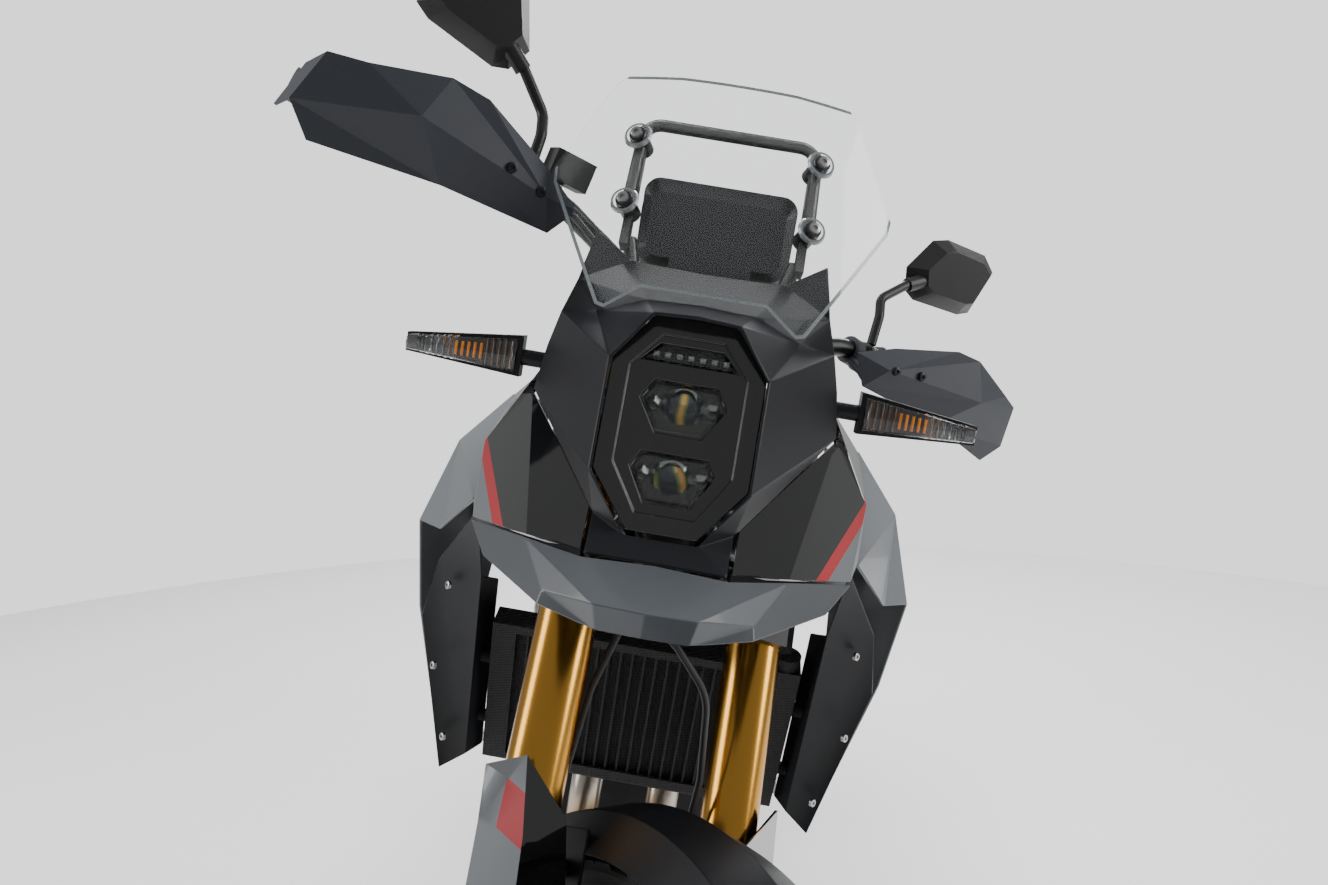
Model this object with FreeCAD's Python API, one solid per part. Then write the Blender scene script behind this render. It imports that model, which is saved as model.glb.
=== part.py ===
import FreeCAD, Part
import math
import os

# Adventure motorcycle, parked on its side stand with the steering on its left stop.
# Every piece is drawn upright with the wheels straight ahead: x to the rider's left,
# y to the rear, z up, origin on the ground midway between the axles, millimetres.
# The last section turns the steered pieces, leans the machine and sets it on the floor.

V = FreeCAD.Vector
ACROSS = V(1, 0, 0)
BACK = V(0, 1, 0)
UP = V(0, 0, 1)

# Chassis geometry
WHEELBASE = 1570.0
RAKE = 28.0
TRAIL = 114.0
LEAN = 10.4
STEER = 32.0
ORIGIN_X = 195.0
ORIGIN_Y = 56.0

# Wheels and tyres
FRONT_TYRE_R = 347.5
FRONT_TYRE_HALF = 46.0
FRONT_CROWN = 50.0
FRONT_BEAD_R = 266.7
REAR_TYRE_R = 321.0
REAR_TYRE_HALF = 73.8
REAR_CROWN = 82.0
REAR_BEAD_R = 215.9
TYRE_SIDES = 88
FRONT_RIM_HALF = 27.5
REAR_RIM_HALF = 51.0
FLANGE = 14.0
BEAD_FIT = 0.3
SPOKES = 32
SPOKE_R = 2.2
FRONT_AXLE_R = 10.0
FRONT_AXLE_BORE = 6.5
REAR_AXLE_R = 10.0
HUB_RUN = 0.3
FRONT_DISC_R = 155.0
REAR_DISC_R = 130.0
DISC_THICK = 5.0
DISC_BAND = 34.0
DISC_HOLES = 24
DISC_HOLE_R = 4.0
FRONT_DISC_X = 62.0
REAR_DISC_X = 82.0

# Fork, measured along the steering axis from the ground and ahead of that axis
FORK_X = 107.0
FORK_AHEAD = 32.0
AXLE_AHEAD = 62.5
FORK_OUTER_R = 28.0
FORK_INNER_R = 21.5
FORK_TOP = 1172.0
FORK_OUTER_END = 690.0
LOWER_CLAMP = 922.0
UPPER_CLAMP = 1140.0
LOWER_CLAMP_THICK = 40.0
UPPER_CLAMP_THICK = 28.0
STEM_R = 22.5
HEAD_TUBE_R = 31.0
STEM_RUN = 0.4
HEAD_RUN = 5.5

# Handlebar
BAR_Y = -318.0
BAR_Z = 1100.0
BAR_R = 14.0
GRIP_R = 17.0
BAR_END_X = 440.0
BAR_END_Y = -238.0
BAR_END_Z = 1136.0

# Final drive
CHAIN_PITCH = 15.875
FRONT_TEETH = 17
REAR_TEETH = 51
CHAIN_X = 88.0
CHAIN_WIDTH = 18.0
CHAIN_HEIGHT = 14.5
SPROCKET_THICK = 6.0
SPROCKET_RUN = 0.6
DRIVE_Y = 150.0
DRIVE_Z = 392.0

# Swingarm
PIVOT_Y = 232.0
PIVOT_Z = 400.0
ARM_X = 108.0
ARM_WIDTH = 26.0
SPOOL_X = 144.0
SPOOL_Y = 722.0
SPOOL_Z = 322.0
SPOOL_DEPTH = 16.0
SPOOL_THREAD_R = 4.25

WALL = 3.0
SEAM = 0.4
SCREEN_THICK = 3.5


def sin_deg(angle):
    return math.sin(math.radians(angle))


def cos_deg(angle):
    return math.cos(math.radians(angle))


FRONT_AXLE = V(0, -WHEELBASE / 2, FRONT_TYRE_R)
REAR_AXLE = V(0, WHEELBASE / 2, REAR_TYRE_R)
STEER_FOOT = V(0, -WHEELBASE / 2 - TRAIL, 0)
STEER_AXIS = V(0, sin_deg(RAKE), cos_deg(RAKE))
AHEAD = V(0, -cos_deg(RAKE), sin_deg(RAKE))
AXLE_ALONG = (FRONT_AXLE - STEER_FOOT).dot(STEER_AXIS)


# Shape helpers

def rod(start, end, radius, end_radius=None):
    run = end - start
    if end_radius is None or abs(end_radius - radius) < 1e-6:
        return Part.makeCylinder(radius, run.Length, start, run)
    return Part.makeCone(radius, end_radius, run.Length, start, run)


def block(x0, x1, y0, y1, z0, z1):
    return Part.makeBox(x1 - x0, y1 - y0, z1 - z0, V(x0, y0, z0))


def prism(corners, push):
    return Part.Face(Part.makePolygon(corners + corners[:1])).extrude(push)


def side_plate(outline, x0, x1):
    return prism([V(x0, y, z) for y, z in outline], V(x1 - x0, 0, 0))


def front_plate(outline, y0, y1):
    return prism([V(x, y0, z) for x, z in outline], V(0, y1 - y0, 0))


def top_plate(outline, z0, z1):
    return prism([V(x, y, z0) for x, y in outline], V(0, 0, z1 - z0))


def spun(profile, centre):
    """A ring turned about the axle line through centre; profile columns: x, radius."""
    corners = [centre + V(x, 0, r) for x, r in profile]
    face = Part.Face(Part.makePolygon(corners + corners[:1]))
    return face.revolve(centre, ACROSS, 360)


def mirrored(shape):
    return shape.mirror(V(0, 0, 0), ACROSS)


def pair(shape):
    return Part.makeCompound([shape, mirrored(shape)])


def fused(*shapes):
    whole = shapes[0].fuse(list(shapes[1:]))
    return whole.removeSplitter()


def whole(half):
    return fused(half, mirrored(half))


def pipe(points, radius, bend=None):
    """Round bar along straight runs joined by tangent arcs."""
    runs = [(b - a).Length for a, b in zip(points, points[1:])]
    edges = []
    start = points[0]
    for i in range(1, len(points) - 1):
        before = (points[i] - points[i - 1]).normalize()
        after = (points[i + 1] - points[i]).normalize()
        turn = before.getAngle(after)
        if turn < 0.01:
            continue
        reach = 0.45 * min(runs[i - 1], runs[i])
        if bend is not None:
            reach = min(reach, bend * math.tan(turn / 2))
        arc_in = points[i] - before * reach
        arc_out = points[i] + after * reach
        inward = (after - before).normalize()
        arc_radius = reach / math.tan(turn / 2)
        middle = points[i] + inward * (arc_radius / math.cos(turn / 2) - arc_radius)
        edges.append(Part.LineSegment(start, arc_in).toShape())
        edges.append(Part.Arc(arc_in, middle, arc_out).toShape())
        start = arc_out
    edges.append(Part.LineSegment(start, points[-1]).toShape())
    ring = Part.Wire([Part.Circle(points[0], points[1] - points[0], radius).toShape()])
    return Part.Wire(edges).makePipeShell([ring], True, False)


def facet(corners):
    return Part.Face(Part.makePolygon(list(corners) + [corners[0]]))


def panel(corners, faces, wall):
    """A moulded panel of flat facets between named corners, wall thick towards the inside.

    Each face lists its corners anticlockwise as seen from outside.
    """
    lean = {name: V(0, 0, 0) for name in corners}
    triangles = []
    for face in faces:
        for i in range(1, len(face) - 1):
            triangles.append((face[0], face[i], face[i + 1]))
    for a, b, c in triangles:
        normal = (corners[b] - corners[a]).cross(corners[c] - corners[a])
        for name in (a, b, c):
            lean[name] = lean[name] + V(normal).normalize()
    inner = {}
    for name, corner in corners.items():
        normal = lean[name]
        if abs(corner.x) < 1e-6:
            normal = V(0, normal.y, normal.z)
        inner[name] = corner - normal.normalize() * wall
    used = {}
    for a, b, c in triangles:
        for edge in ((a, b), (b, c), (c, a)):
            used[edge] = True
    skin = []
    for a, b, c in triangles:
        skin.append(facet((corners[a], corners[b], corners[c])))
        skin.append(facet((inner[c], inner[b], inner[a])))
    for a, b in used:
        if (b, a) not in used:
            skin.append(facet((corners[a], inner[a], inner[b])))
            skin.append(facet((corners[a], inner[b], corners[b])))
    body = Part.Solid(Part.Shell(skin))
    if body.Volume < 0:
        body.reverse()
    return body.removeSplitter()


def hoop(y, half_width, low, high, corner):
    """A rounded rectangle across the machine at station y."""
    x, r = half_width, corner
    turn = r * (1 - math.sqrt(0.5))
    marks = [
        (-x + r, low), (x - r, low), (x - turn, low + turn), (x, low + r),
        (x, high - r), (x - turn, high - turn), (x - r, high),
        (-x + r, high), (-x + turn, high - turn), (-x, high - r),
        (-x, low + r), (-x + turn, low + turn),
    ]
    p = [V(a, y, b) for a, b in marks]
    edges = []
    for start in (0, 3, 6, 9):
        edges.append(Part.LineSegment(p[start], p[start + 1]).toShape())
        edges.append(Part.Arc(p[start + 1], p[start + 2], p[(start + 3) % 12]).toShape())
    if len(edges) != 8:
        raise ValueError("hoop has eight edges")
    return Part.Wire(edges)


def lofted(stations):
    return Part.makeLoft([hoop(*station) for station in stations], True, True)


def trimmed(shape, other, anchor):
    """What is left of a shape short of another, on the anchor's side."""
    rest = shape.cut(other)
    probe = Part.Vertex(anchor)
    return min(rest.Solids, key=lambda solid: solid.distToShape(probe)[0])


def fork_point(x, along, ahead):
    return STEER_FOOT + ACROSS * x + STEER_AXIS * along + AHEAD * ahead


def fork_plate(outline, low, high):
    """A plate square to the steering axis; outline columns: x, ahead."""
    corners = [fork_point(x, low, ahead) for x, ahead in outline]
    return prism(corners, STEER_AXIS * (high - low))


def ring_about(centre, axis, outer, bore, thick):
    start = centre - axis * (thick / 2)
    end = centre + axis * (thick / 2)
    return rod(start, end, outer).cut(rod(start, end, bore))


# Wheels

def faceted_ring(profile, centre, sides):
    """A ring of flat facets about the axle line; profile columns: x, radius."""
    skin = []
    for i in range(sides):
        marks = []
        for angle in (360.0 * i / sides, 360.0 * (i + 1) / sides):
            marks.append([centre + V(x, r * cos_deg(angle), r * sin_deg(angle)) for x, r in profile])
        for k in range(len(profile)):
            n = (k + 1) % len(profile)
            skin.append(facet((marks[0][k], marks[0][n], marks[1][n], marks[1][k])))
    ring = Part.Solid(Part.Shell(skin))
    if ring.Volume < 0:
        ring.reverse()
    return ring


def tyre(centre, radius, half, crown, bead_r, rim_half):
    """Cross-section: crowned tread, bulged sidewalls, beads inside the rim flanges."""
    drop = crown - math.sqrt(crown * crown - half * half)
    shoulder = V(half, 0, radius - drop)
    bead_in = V(rim_half - BEAD_FIT, 0, bead_r + BEAD_FIT)
    bead_out = V(rim_half - BEAD_FIT, 0, bead_r + FLANGE + 1)
    bulge = V((half + rim_half) / 2 + 4, 0, (shoulder.z + bead_out.z) / 2)
    side = [(half * share, radius - crown + math.sqrt(crown * crown - half * half * share * share)) for share in (0.55, 1)]
    side += [(bulge.x, bulge.z), (bead_out.x, bead_out.z), (bead_in.x, bead_in.z)]
    return faceted_ring([(0, radius)] + side + [(-x, r) for x, r in reversed(side)], centre, TYRE_SIDES)


def wheel(centre, bead_r, rim_half, hub_half, hub_r, flange_r, axle_r):
    """Rim channel, hub barrel with two spoke flanges, and crossed wire spokes."""
    lip = rim_half + 5
    well = bead_r - 16
    rim = spun([
        (-lip, bead_r + FLANGE), (-rim_half, bead_r + FLANGE), (-rim_half, bead_r),
        (-rim_half + 14, bead_r - 2), (-rim_half + 20, well), (rim_half - 20, well),
        (rim_half - 14, bead_r - 2), (rim_half, bead_r), (rim_half, bead_r + FLANGE),
        (lip, bead_r + FLANGE), (lip, bead_r - 4), (rim_half - 8, bead_r - 12),
        (rim_half - 18, well - 7), (-rim_half + 18, well - 7),
        (-rim_half + 8, bead_r - 12), (-lip, bead_r - 4),
    ], centre)
    bore = axle_r + HUB_RUN
    hub = spun([
        (-hub_half, bore), (-hub_half, hub_r), (-hub_half + 8, flange_r),
        (-hub_half + 14, flange_r), (-hub_half + 20, hub_r), (hub_half - 20, hub_r),
        (hub_half - 14, flange_r), (hub_half - 8, flange_r), (hub_half, hub_r),
        (hub_half, bore),
    ], centre)
    parts = [rim, hub]
    step = 360.0 / SPOKES
    for i in range(SPOKES):
        side = 1 if i % 2 else -1
        slant = 42 if (i // 2) % 2 else -42
        foot = i * step + slant
        x_hub = side * (hub_half - 11)
        x_rim = side * (rim_half - 24)
        a = centre + V(x_hub, (flange_r - 4) * cos_deg(foot), (flange_r - 4) * sin_deg(foot))
        top = well - 3
        b = centre + V(x_rim, top * cos_deg(i * step), top * sin_deg(i * step))
        parts.append(hex_bar(a, b, SPOKE_R))
    return parts[0].multiFuse(parts[1:])


def hex_bar(start, end, radius):
    run = (end - start).normalize()
    side = run.cross(UP if abs(run.z) < 0.9 else ACROSS).normalize()
    other = run.cross(side)
    corners = []
    for i in range(6):
        corners.append(start + side * (radius * cos_deg(60 * i)) + other * (radius * sin_deg(60 * i)))
    return prism(corners, end - start)


def disc(centre, x, radius, hub_r, arms):
    """Brake disc: ring, and a spider of arms to its hub ring."""
    at = centre + V(x, 0, 0)
    ring = ring_about(at, ACROSS, radius, radius - DISC_BAND, DISC_THICK)
    holes = []
    for i in range(DISC_HOLES):
        row = radius - DISC_BAND * (0.32 if i % 2 else 0.66)
        angle = 360.0 * (i + 0.5) / DISC_HOLES
        spot = at + V(0, row * cos_deg(angle), row * sin_deg(angle))
        holes.append(rod(spot - ACROSS * DISC_THICK, spot + ACROSS * DISC_THICK, DISC_HOLE_R))
    ring = ring.cut(Part.makeCompound(holes))
    boss = ring_about(at, ACROSS, hub_r + 16, hub_r, DISC_THICK)
    spider = [boss]
    for i in range(arms):
        angle = 360.0 * i / arms
        out = V(0, cos_deg(angle), sin_deg(angle))
        side = V(0, -out.z, out.y)
        a = at + out * (hub_r + 6) - ACROSS * (DISC_THICK / 2)
        b = at + out * (radius - DISC_BAND + 5) - ACROSS * (DISC_THICK / 2)
        spider.append(prism([a + side * 11, b + side * 7, b - side * 7, a - side * 11], ACROSS * DISC_THICK))
    return ring.multiFuse(spider).removeSplitter()


FRONT_HUB_HALF = 34.0
FRONT_HUB_R = 24.0
FRONT_FLANGE_R = 38.0
REAR_HUB_HALF = 56.0
REAR_HUB_R = 34.0
REAR_FLANGE_R = 56.0
FRONT_BOSS_HALF = 70.0
REAR_BOSS_HALF = 96.0


def front_tyre():
    return tyre(FRONT_AXLE, FRONT_TYRE_R, FRONT_TYRE_HALF, FRONT_CROWN, FRONT_BEAD_R, FRONT_RIM_HALF)


def rear_tyre():
    return tyre(REAR_AXLE, REAR_TYRE_R, REAR_TYRE_HALF, REAR_CROWN, REAR_BEAD_R, REAR_RIM_HALF)


def hub_boss(centre, half, radius, axle_r):
    return ring_about(centre, ACROSS, radius, axle_r + HUB_RUN, 2 * half)


def front_rim():
    spoked = wheel(FRONT_AXLE, FRONT_BEAD_R, FRONT_RIM_HALF, FRONT_HUB_HALF, FRONT_HUB_R, FRONT_FLANGE_R, FRONT_AXLE_R)
    return spoked.fuse(hub_boss(FRONT_AXLE, FRONT_BOSS_HALF, FRONT_HUB_R - 3, FRONT_AXLE_R))


def rear_rim():
    spoked = wheel(REAR_AXLE, REAR_BEAD_R, REAR_RIM_HALF, REAR_HUB_HALF, REAR_HUB_R, REAR_FLANGE_R, REAR_AXLE_R)
    return spoked.fuse(hub_boss(REAR_AXLE, REAR_BOSS_HALF, REAR_HUB_R - 4, REAR_AXLE_R))


def front_discs():
    left = disc(FRONT_AXLE, FRONT_DISC_X, FRONT_DISC_R, FRONT_HUB_R - 3 + BEAD_FIT, 5)
    return pair(left)


def rear_disc():
    return disc(REAR_AXLE, -REAR_DISC_X, REAR_DISC_R, REAR_HUB_R - 4 + BEAD_FIT, 5)


def pitch_radius(teeth):
    return CHAIN_PITCH / (2 * sin_deg(180.0 / teeth))


def sprocket(centre, teeth, hub_r):
    pitch_r = pitch_radius(teeth)
    corners = []
    for i in range(teeth):
        for share, r in ((0.0, pitch_r - 7), (0.35, pitch_r - 6), (0.5, pitch_r - 1), (0.65, pitch_r - 6)):
            angle = 360.0 * (i + share) / teeth
            corners.append(centre + V(CHAIN_X - SPROCKET_THICK / 2, r * cos_deg(angle), r * sin_deg(angle)))
    plate = prism(corners, ACROSS * SPROCKET_THICK)
    at = centre + V(CHAIN_X, 0, 0)
    return plate.cut(rod(at - ACROSS * 20, at + ACROSS * 20, hub_r))


def rear_sprocket():
    plate = sprocket(REAR_AXLE, REAR_TEETH, REAR_HUB_R - 4 + BEAD_FIT)
    at = REAR_AXLE + V(CHAIN_X, 0, 0)
    for i in range(5):
        angle = 72.0 * i + 36
        spot = at + V(0, 78 * cos_deg(angle), 78 * sin_deg(angle))
        plate = plate.cut(rod(spot - ACROSS * 20, spot + ACROSS * 20, 24))
    return plate


def chain_loop(offset):
    """Outline of the chain run at a distance outside its pitch line."""
    small = pitch_radius(FRONT_TEETH) + offset
    large = pitch_radius(REAR_TEETH) + offset
    front = V(0, DRIVE_Y, DRIVE_Z)
    rear = REAR_AXLE
    along = rear - front
    span = along.Length
    heading = math.degrees(math.atan2(along.z, along.y))
    tilt = math.degrees(math.asin((large - small) / span))
    up = heading + 90 + tilt
    down = heading - 90 - tilt
    point = lambda c, r, angle: V(0, c.y + r * cos_deg(angle), c.z + r * sin_deg(angle))
    edges = [
        Part.LineSegment(point(front, small, up), point(rear, large, up)),
        Part.Arc(point(rear, large, up), point(rear, large, heading), point(rear, large, down)),
        Part.LineSegment(point(rear, large, down), point(front, small, down)),
        Part.Arc(point(front, small, down), point(front, small, heading + 180), point(front, small, up)),
    ]
    return Part.Face(Part.Wire([edge.toShape() for edge in edges]))


def drive_chain():
    """One fixed loop: side plates either side of a roller core, open for the teeth."""
    outer = chain_loop(CHAIN_HEIGHT / 2)
    band = outer.cut(chain_loop(-CHAIN_HEIGHT / 2)).extrude(V(CHAIN_WIDTH, 0, 0))
    slot_width = SPROCKET_THICK + 2 * SPROCKET_RUN
    slot = chain_loop(0).cut(chain_loop(-CHAIN_HEIGHT)).extrude(V(slot_width, 0, 0))
    slot.translate(V((CHAIN_WIDTH - slot_width) / 2, 0, 0))
    chain = band.cut(slot)
    chain.translate(V(CHAIN_X - CHAIN_WIDTH / 2, 0, 0))
    return chain


def front_sprocket():
    centre = V(0, DRIVE_Y, DRIVE_Z)
    plate = sprocket(centre, FRONT_TEETH, 12)
    shaft = rod(centre + V(SPROCKET_BAY_X + SEAM, 0, 0), centre + V(CHAIN_X + 12, 0, 0), 12)
    return fused(plate, shaft)


# Rear suspension

ARM_PLAN = [(90, 190), (116, 190), (116, 320), (ARM_X + ARM_WIDTH, 560), (ARM_X + ARM_WIDTH, 850),
            (ARM_X, 850), (ARM_X, 560), (90, 320)]


def swingarm():
    """Two box arms, pivot tube, cross brace and slotted axle blocks."""
    arm_outline = [
        (PIVOT_Y - 28, PIVOT_Z - 28), (PIVOT_Y + 60, PIVOT_Z - 36), (WHEELBASE / 2 - 60, REAR_TYRE_R - 30),
        (WHEELBASE / 2 + 50, REAR_TYRE_R - 24), (WHEELBASE / 2 + 50, REAR_TYRE_R + 24),
        (WHEELBASE / 2 - 60, REAR_TYRE_R + 32), (PIVOT_Y + 90, PIVOT_Z + 20), (PIVOT_Y - 28, PIVOT_Z + 26),
    ]
    left = side_plate(arm_outline, 60, 160).common(top_plate(ARM_PLAN, 200, 500))
    slot = side_plate([(WHEELBASE / 2 - 14, REAR_TYRE_R - 10.3), (WHEELBASE / 2 + 30, REAR_TYRE_R - 10.3),
                       (WHEELBASE / 2 + 30, REAR_TYRE_R + 10.3), (WHEELBASE / 2 - 14, REAR_TYRE_R + 10.3)],
                      ARM_X - 5, ARM_X + ARM_WIDTH + 5)
    left = left.cut(slot)
    arms = pair(left)
    pivot = rod(V(-116, PIVOT_Y, PIVOT_Z), V(116, PIVOT_Y, PIVOT_Z), 26)
    brace = block(-94, 94, PIVOT_Y + 66, PIVOT_Y + 120, PIVOT_Z - 30, PIVOT_Z + 22)
    spools = pair(rod(V(ARM_X + 10, SPOOL_Y, SPOOL_Z), V(SPOOL_X, SPOOL_Y, SPOOL_Z), 12))
    clevis = block(-20, 20, 330, 352, 415, 434.7)
    clevis = clevis.fuse(block(-20, 20, 330, 372, 415, 434.7)).fuse(block(-18, 18, 330, 372, PIVOT_Z - 30, 416))
    arm = arms.Solids[0].multiFuse([arms.Solids[1], pivot, brace, clevis] + spools.Solids)
    threads = rod(V(SPOOL_X - SPOOL_DEPTH, SPOOL_Y, SPOOL_Z), V(SPOOL_X + 5, SPOOL_Y, SPOOL_Z), SPOOL_THREAD_R)
    arm = arm.cut(threads).cut(mirrored(threads))
    return arm.cut(rod(V(-160, PIVOT_Y, PIVOT_Z), V(160, PIVOT_Y, PIVOT_Z), 10.3))


def rear_axle():
    half = ARM_X + ARM_WIDTH
    shaft = rod(REAR_AXLE - ACROSS * (half + 14), REAR_AXLE + ACROSS * (half + 14), REAR_AXLE_R)
    nut = ring_about(REAR_AXLE + ACROSS * (half + 8), ACROSS, 18, REAR_AXLE_R - 1, 15)
    head = ring_about(REAR_AXLE - ACROSS * (half + 6), ACROSS, 17, REAR_AXLE_R - 1, 11)
    return fused(shaft, nut, head)


def chassis_axles():
    """Rear axle with its nut, and the swingarm pivot bolt."""
    return Part.makeCompound([rear_axle(), pivot_bolt()])


SHOCK_LOW = V(0, 352, 440)
SHOCK_HIGH = V(0, 250, 690)
SHOCK_SEAT_R = 36.0
DAMPER_R = 19.0
SPRING_R = 29.0
SPRING_WIRE_R = 5.5
SPRING_TURNS = 6.5


def spring(start, end):
    """Coil of hexagonal wire between two seats, half a turn at each end lying flat."""
    axis = (end - start).normalize()
    other = axis.cross(ACROSS)
    rise = SPRING_WIRE_R * sin_deg(60)
    travel = (end - start).Length - 2 * rise
    steps = int(SPRING_TURNS * 14)
    rings = []
    for i in range(steps + 1):
        turns = SPRING_TURNS * i / steps
        climb = min(max(turns - 0.5, 0), SPRING_TURNS - 1) / (SPRING_TURNS - 1)
        out = ACROSS * cos_deg(360 * turns) + other * sin_deg(360 * turns)
        centre = start + axis * (rise + travel * climb) + out * SPRING_R
        ring = []
        for k in range(6):
            ring.append(centre + out * (SPRING_WIRE_R * cos_deg(60 * k)) + axis * (SPRING_WIRE_R * sin_deg(60 * k)))
        rings.append(ring)
    skin = [facet(rings[0][::-1]), facet(rings[-1])]
    for a, b in zip(rings, rings[1:]):
        for k in range(6):
            n = (k + 1) % 6
            skin.append(facet((a[k], b[k], b[n])))
            skin.append(facet((a[k], b[n], a[n])))
    coil = Part.Solid(Part.Shell(skin))
    if coil.Volume < 0:
        coil.reverse()
    return coil


def rear_shock():
    """Damper with its collars and piggyback reservoir, and the coil spring between the seats."""
    run = (SHOCK_HIGH - SHOCK_LOW).normalize()
    seat_low = SHOCK_LOW + run * 32
    seat_high = SHOCK_HIGH - run * 40
    damper = [rod(SHOCK_LOW, SHOCK_HIGH, 14), rod(seat_low, seat_high, DAMPER_R)]
    damper.append(rod(seat_low - run * 12, seat_low, SHOCK_SEAT_R))
    damper.append(rod(seat_high, seat_high + run * 8, SHOCK_SEAT_R))
    damper.append(rod(seat_high + run * 10, seat_high + run * 20, SHOCK_SEAT_R - 4))
    damper.append(rod(seat_high + run * 6, seat_high + run * 12, DAMPER_R + 8))
    body = damper[0].multiFuse(damper[1:])
    return Part.makeCompound([body, spring(seat_low + run * SEAM, seat_high - run * SEAM)])


# Frame

SPAR = [(30, -412, 880), (105, -305, 850), (150, -170, 795), (154, 20, 670), (146, 160, 510), (134, 214, 430)]
DOWN_TUBE = [(28, -440, 840), (75, -352, 826), (122, -262, 740), (118, -246, 560), (108, -206, 410)]
UPPER_RAIL = [(138, 70, 663), (122, 130, 745), (112, 290, 800), (104, 560, 858), (92, 930, 900)]
LOWER_RAIL = [(126, 240, 528), (122, 380, 650), (106, 640, 850)]


def bar(points, radius, bend):
    return pipe([V(*p) for p in points], radius, bend)


def frame():
    """Steel head tube, main spars, down tubes, cross tubes and swingarm pivot plates."""
    head_low = LOWER_CLAMP + LOWER_CLAMP_THICK / 2 + HEAD_RUN
    head_high = UPPER_CLAMP - UPPER_CLAMP_THICK / 2 - HEAD_RUN
    head = rod(fork_point(0, head_low, 0), fork_point(0, head_high, 0), HEAD_TUBE_R)
    spar = bar(SPAR, 19, 160)
    down = bar(DOWN_TUBE, 14, 90)
    plate = side_plate([(185, 300), (262, 318), (278, 400), (262, 500), (225, 545), (192, 500), (180, 400)], 120, 132)
    plate = fused(plate, rod(V(132, PIVOT_Y, PIVOT_Z), V(126, PIVOT_Y, PIVOT_Z), 24))
    gusset = side_plate([(-424, 848), (-400, 890), (-300, 866), (-330, 830)], 22, 34)
    side = spar.multiFuse([down, plate, gusset])
    cross_high = rod(V(-150, -170, 795), V(150, -170, 795), 15)
    cross_rear = rod(V(-125, 205, 515), V(125, 205, 515), 16)
    tower = side_plate([(192, 515), (218, 515), (222, 690), (262, 695.1), (262, 712), (200, 712)], -20, 20)
    posts = [rod(V(side * 60, -170, 790), V(side * 60, -170, 839), 10) for side in (-1, 1)]
    stubs = []
    for rail, radius, reach in ((UPPER_RAIL, 13, 42), (LOWER_RAIL, 11, 28)):
        start, aim = V(*rail[0]), (V(*rail[1]) - V(*rail[0])).normalize()
        stubs.append(rod(start - aim * reach, start - aim * SEAM, radius))
    for x, z, back in ((114, 746, -262), (112, 588, -249)):
        stubs.append(rod(V(x, back, z), V(x, radiator_back(z - 6) + SEAM, z), 6))
    shroud = tank_shrouds()
    for y, z in ((-200, 815), (-250, 845)):
        stubs.append(trimmed(rod(V(140, y, z), V(260, y, z), 7), shroud, V(140, y, z)))
    side = side.multiFuse(stubs)
    whole_frame = head.multiFuse([side, mirrored(side), cross_high, cross_rear, stand_bracket(), tower] + posts)
    stem_room = rod(fork_point(0, head_low - 5, 0), fork_point(0, head_high + 5, 0), STEM_R + STEM_RUN)
    bolt_room = rod(V(-160, PIVOT_Y, PIVOT_Z), V(160, PIVOT_Y, PIVOT_Z), 10.3)
    return whole_frame.cut(stem_room).cut(bolt_room)


def pivot_bolt():
    return rod(V(-140, PIVOT_Y, PIVOT_Z), V(140, PIVOT_Y, PIVOT_Z), 10)


def subframe():
    """Seat rails, lower stays, cross tubes and the rack's mounting feet."""
    upper = bar(UPPER_RAIL, 13, 140)
    lower = bar(LOWER_RAIL, 11, 200)
    side = upper.multiFuse([lower])
    cross = [rod(V(-w, y, z), V(w, y, z), 9) for w, y, z in ((110, 330, 809), (104, 560, 858), (94, 880, 894))]
    pads = []
    for x, y, rail, seat in ((112, 300, 803, 826), (106, 400, 824, 843), (98, 600, 862, 896), (88, 760, 880, 914)):
        pads.append(rod(V(x, y, rail), V(x, y, seat - 2 * SEAM), 7))
    side = side.multiFuse(pads)
    return side.multiFuse([mirrored(side)] + cross)


# Engine

CYLINDER_TILT = 20.0


def crankcase():
    profile = [(-195, 380), (-178, 318), (-130, 292), (140, 292), (176, 330), (184, 440), (150, 500), (70, 528),
               deck(90), deck(-94), (-178, 440)]
    case = side_plate(profile, -CASE_HALF, CASE_HALF)
    sump = side_plate([(-120, 292), (-100, 284), (60, 284), (80, 292)], -70, 70)
    bay = block(SPROCKET_BAY_X, 120, 92, 220, 270, 540)
    oil_filter = rod(V(0, -170, 352), V(0, -222, 344), 33, 31)
    breather = rod(V(-40, 110, 505), V(-40, 118, 530), 24, 20)
    return case.multiFuse([sump, oil_filter, breather]).cut(bay)


CYLINDER_FOOT = V(0, -60, 512)
CASE_HALF = 104.0
COVER_BOSS_R = 7.0
SPROCKET_BAY_X = 72.0


def deck(across):
    """Point of the crankcase deck, just under the cylinder block, as y and z."""
    y = across * cos_deg(CYLINDER_TILT) - (6 - SEAM) * sin_deg(CYLINDER_TILT)
    z = across * sin_deg(CYLINDER_TILT) + (6 - SEAM) * cos_deg(CYLINDER_TILT)
    return CYLINDER_FOOT.y + y, CYLINDER_FOOT.z + z


def tilted(shape):
    shape.rotate(V(0, 0, 0), ACROSS, CYLINDER_TILT)
    shape.translate(CYLINDER_FOOT)
    return shape


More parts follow.
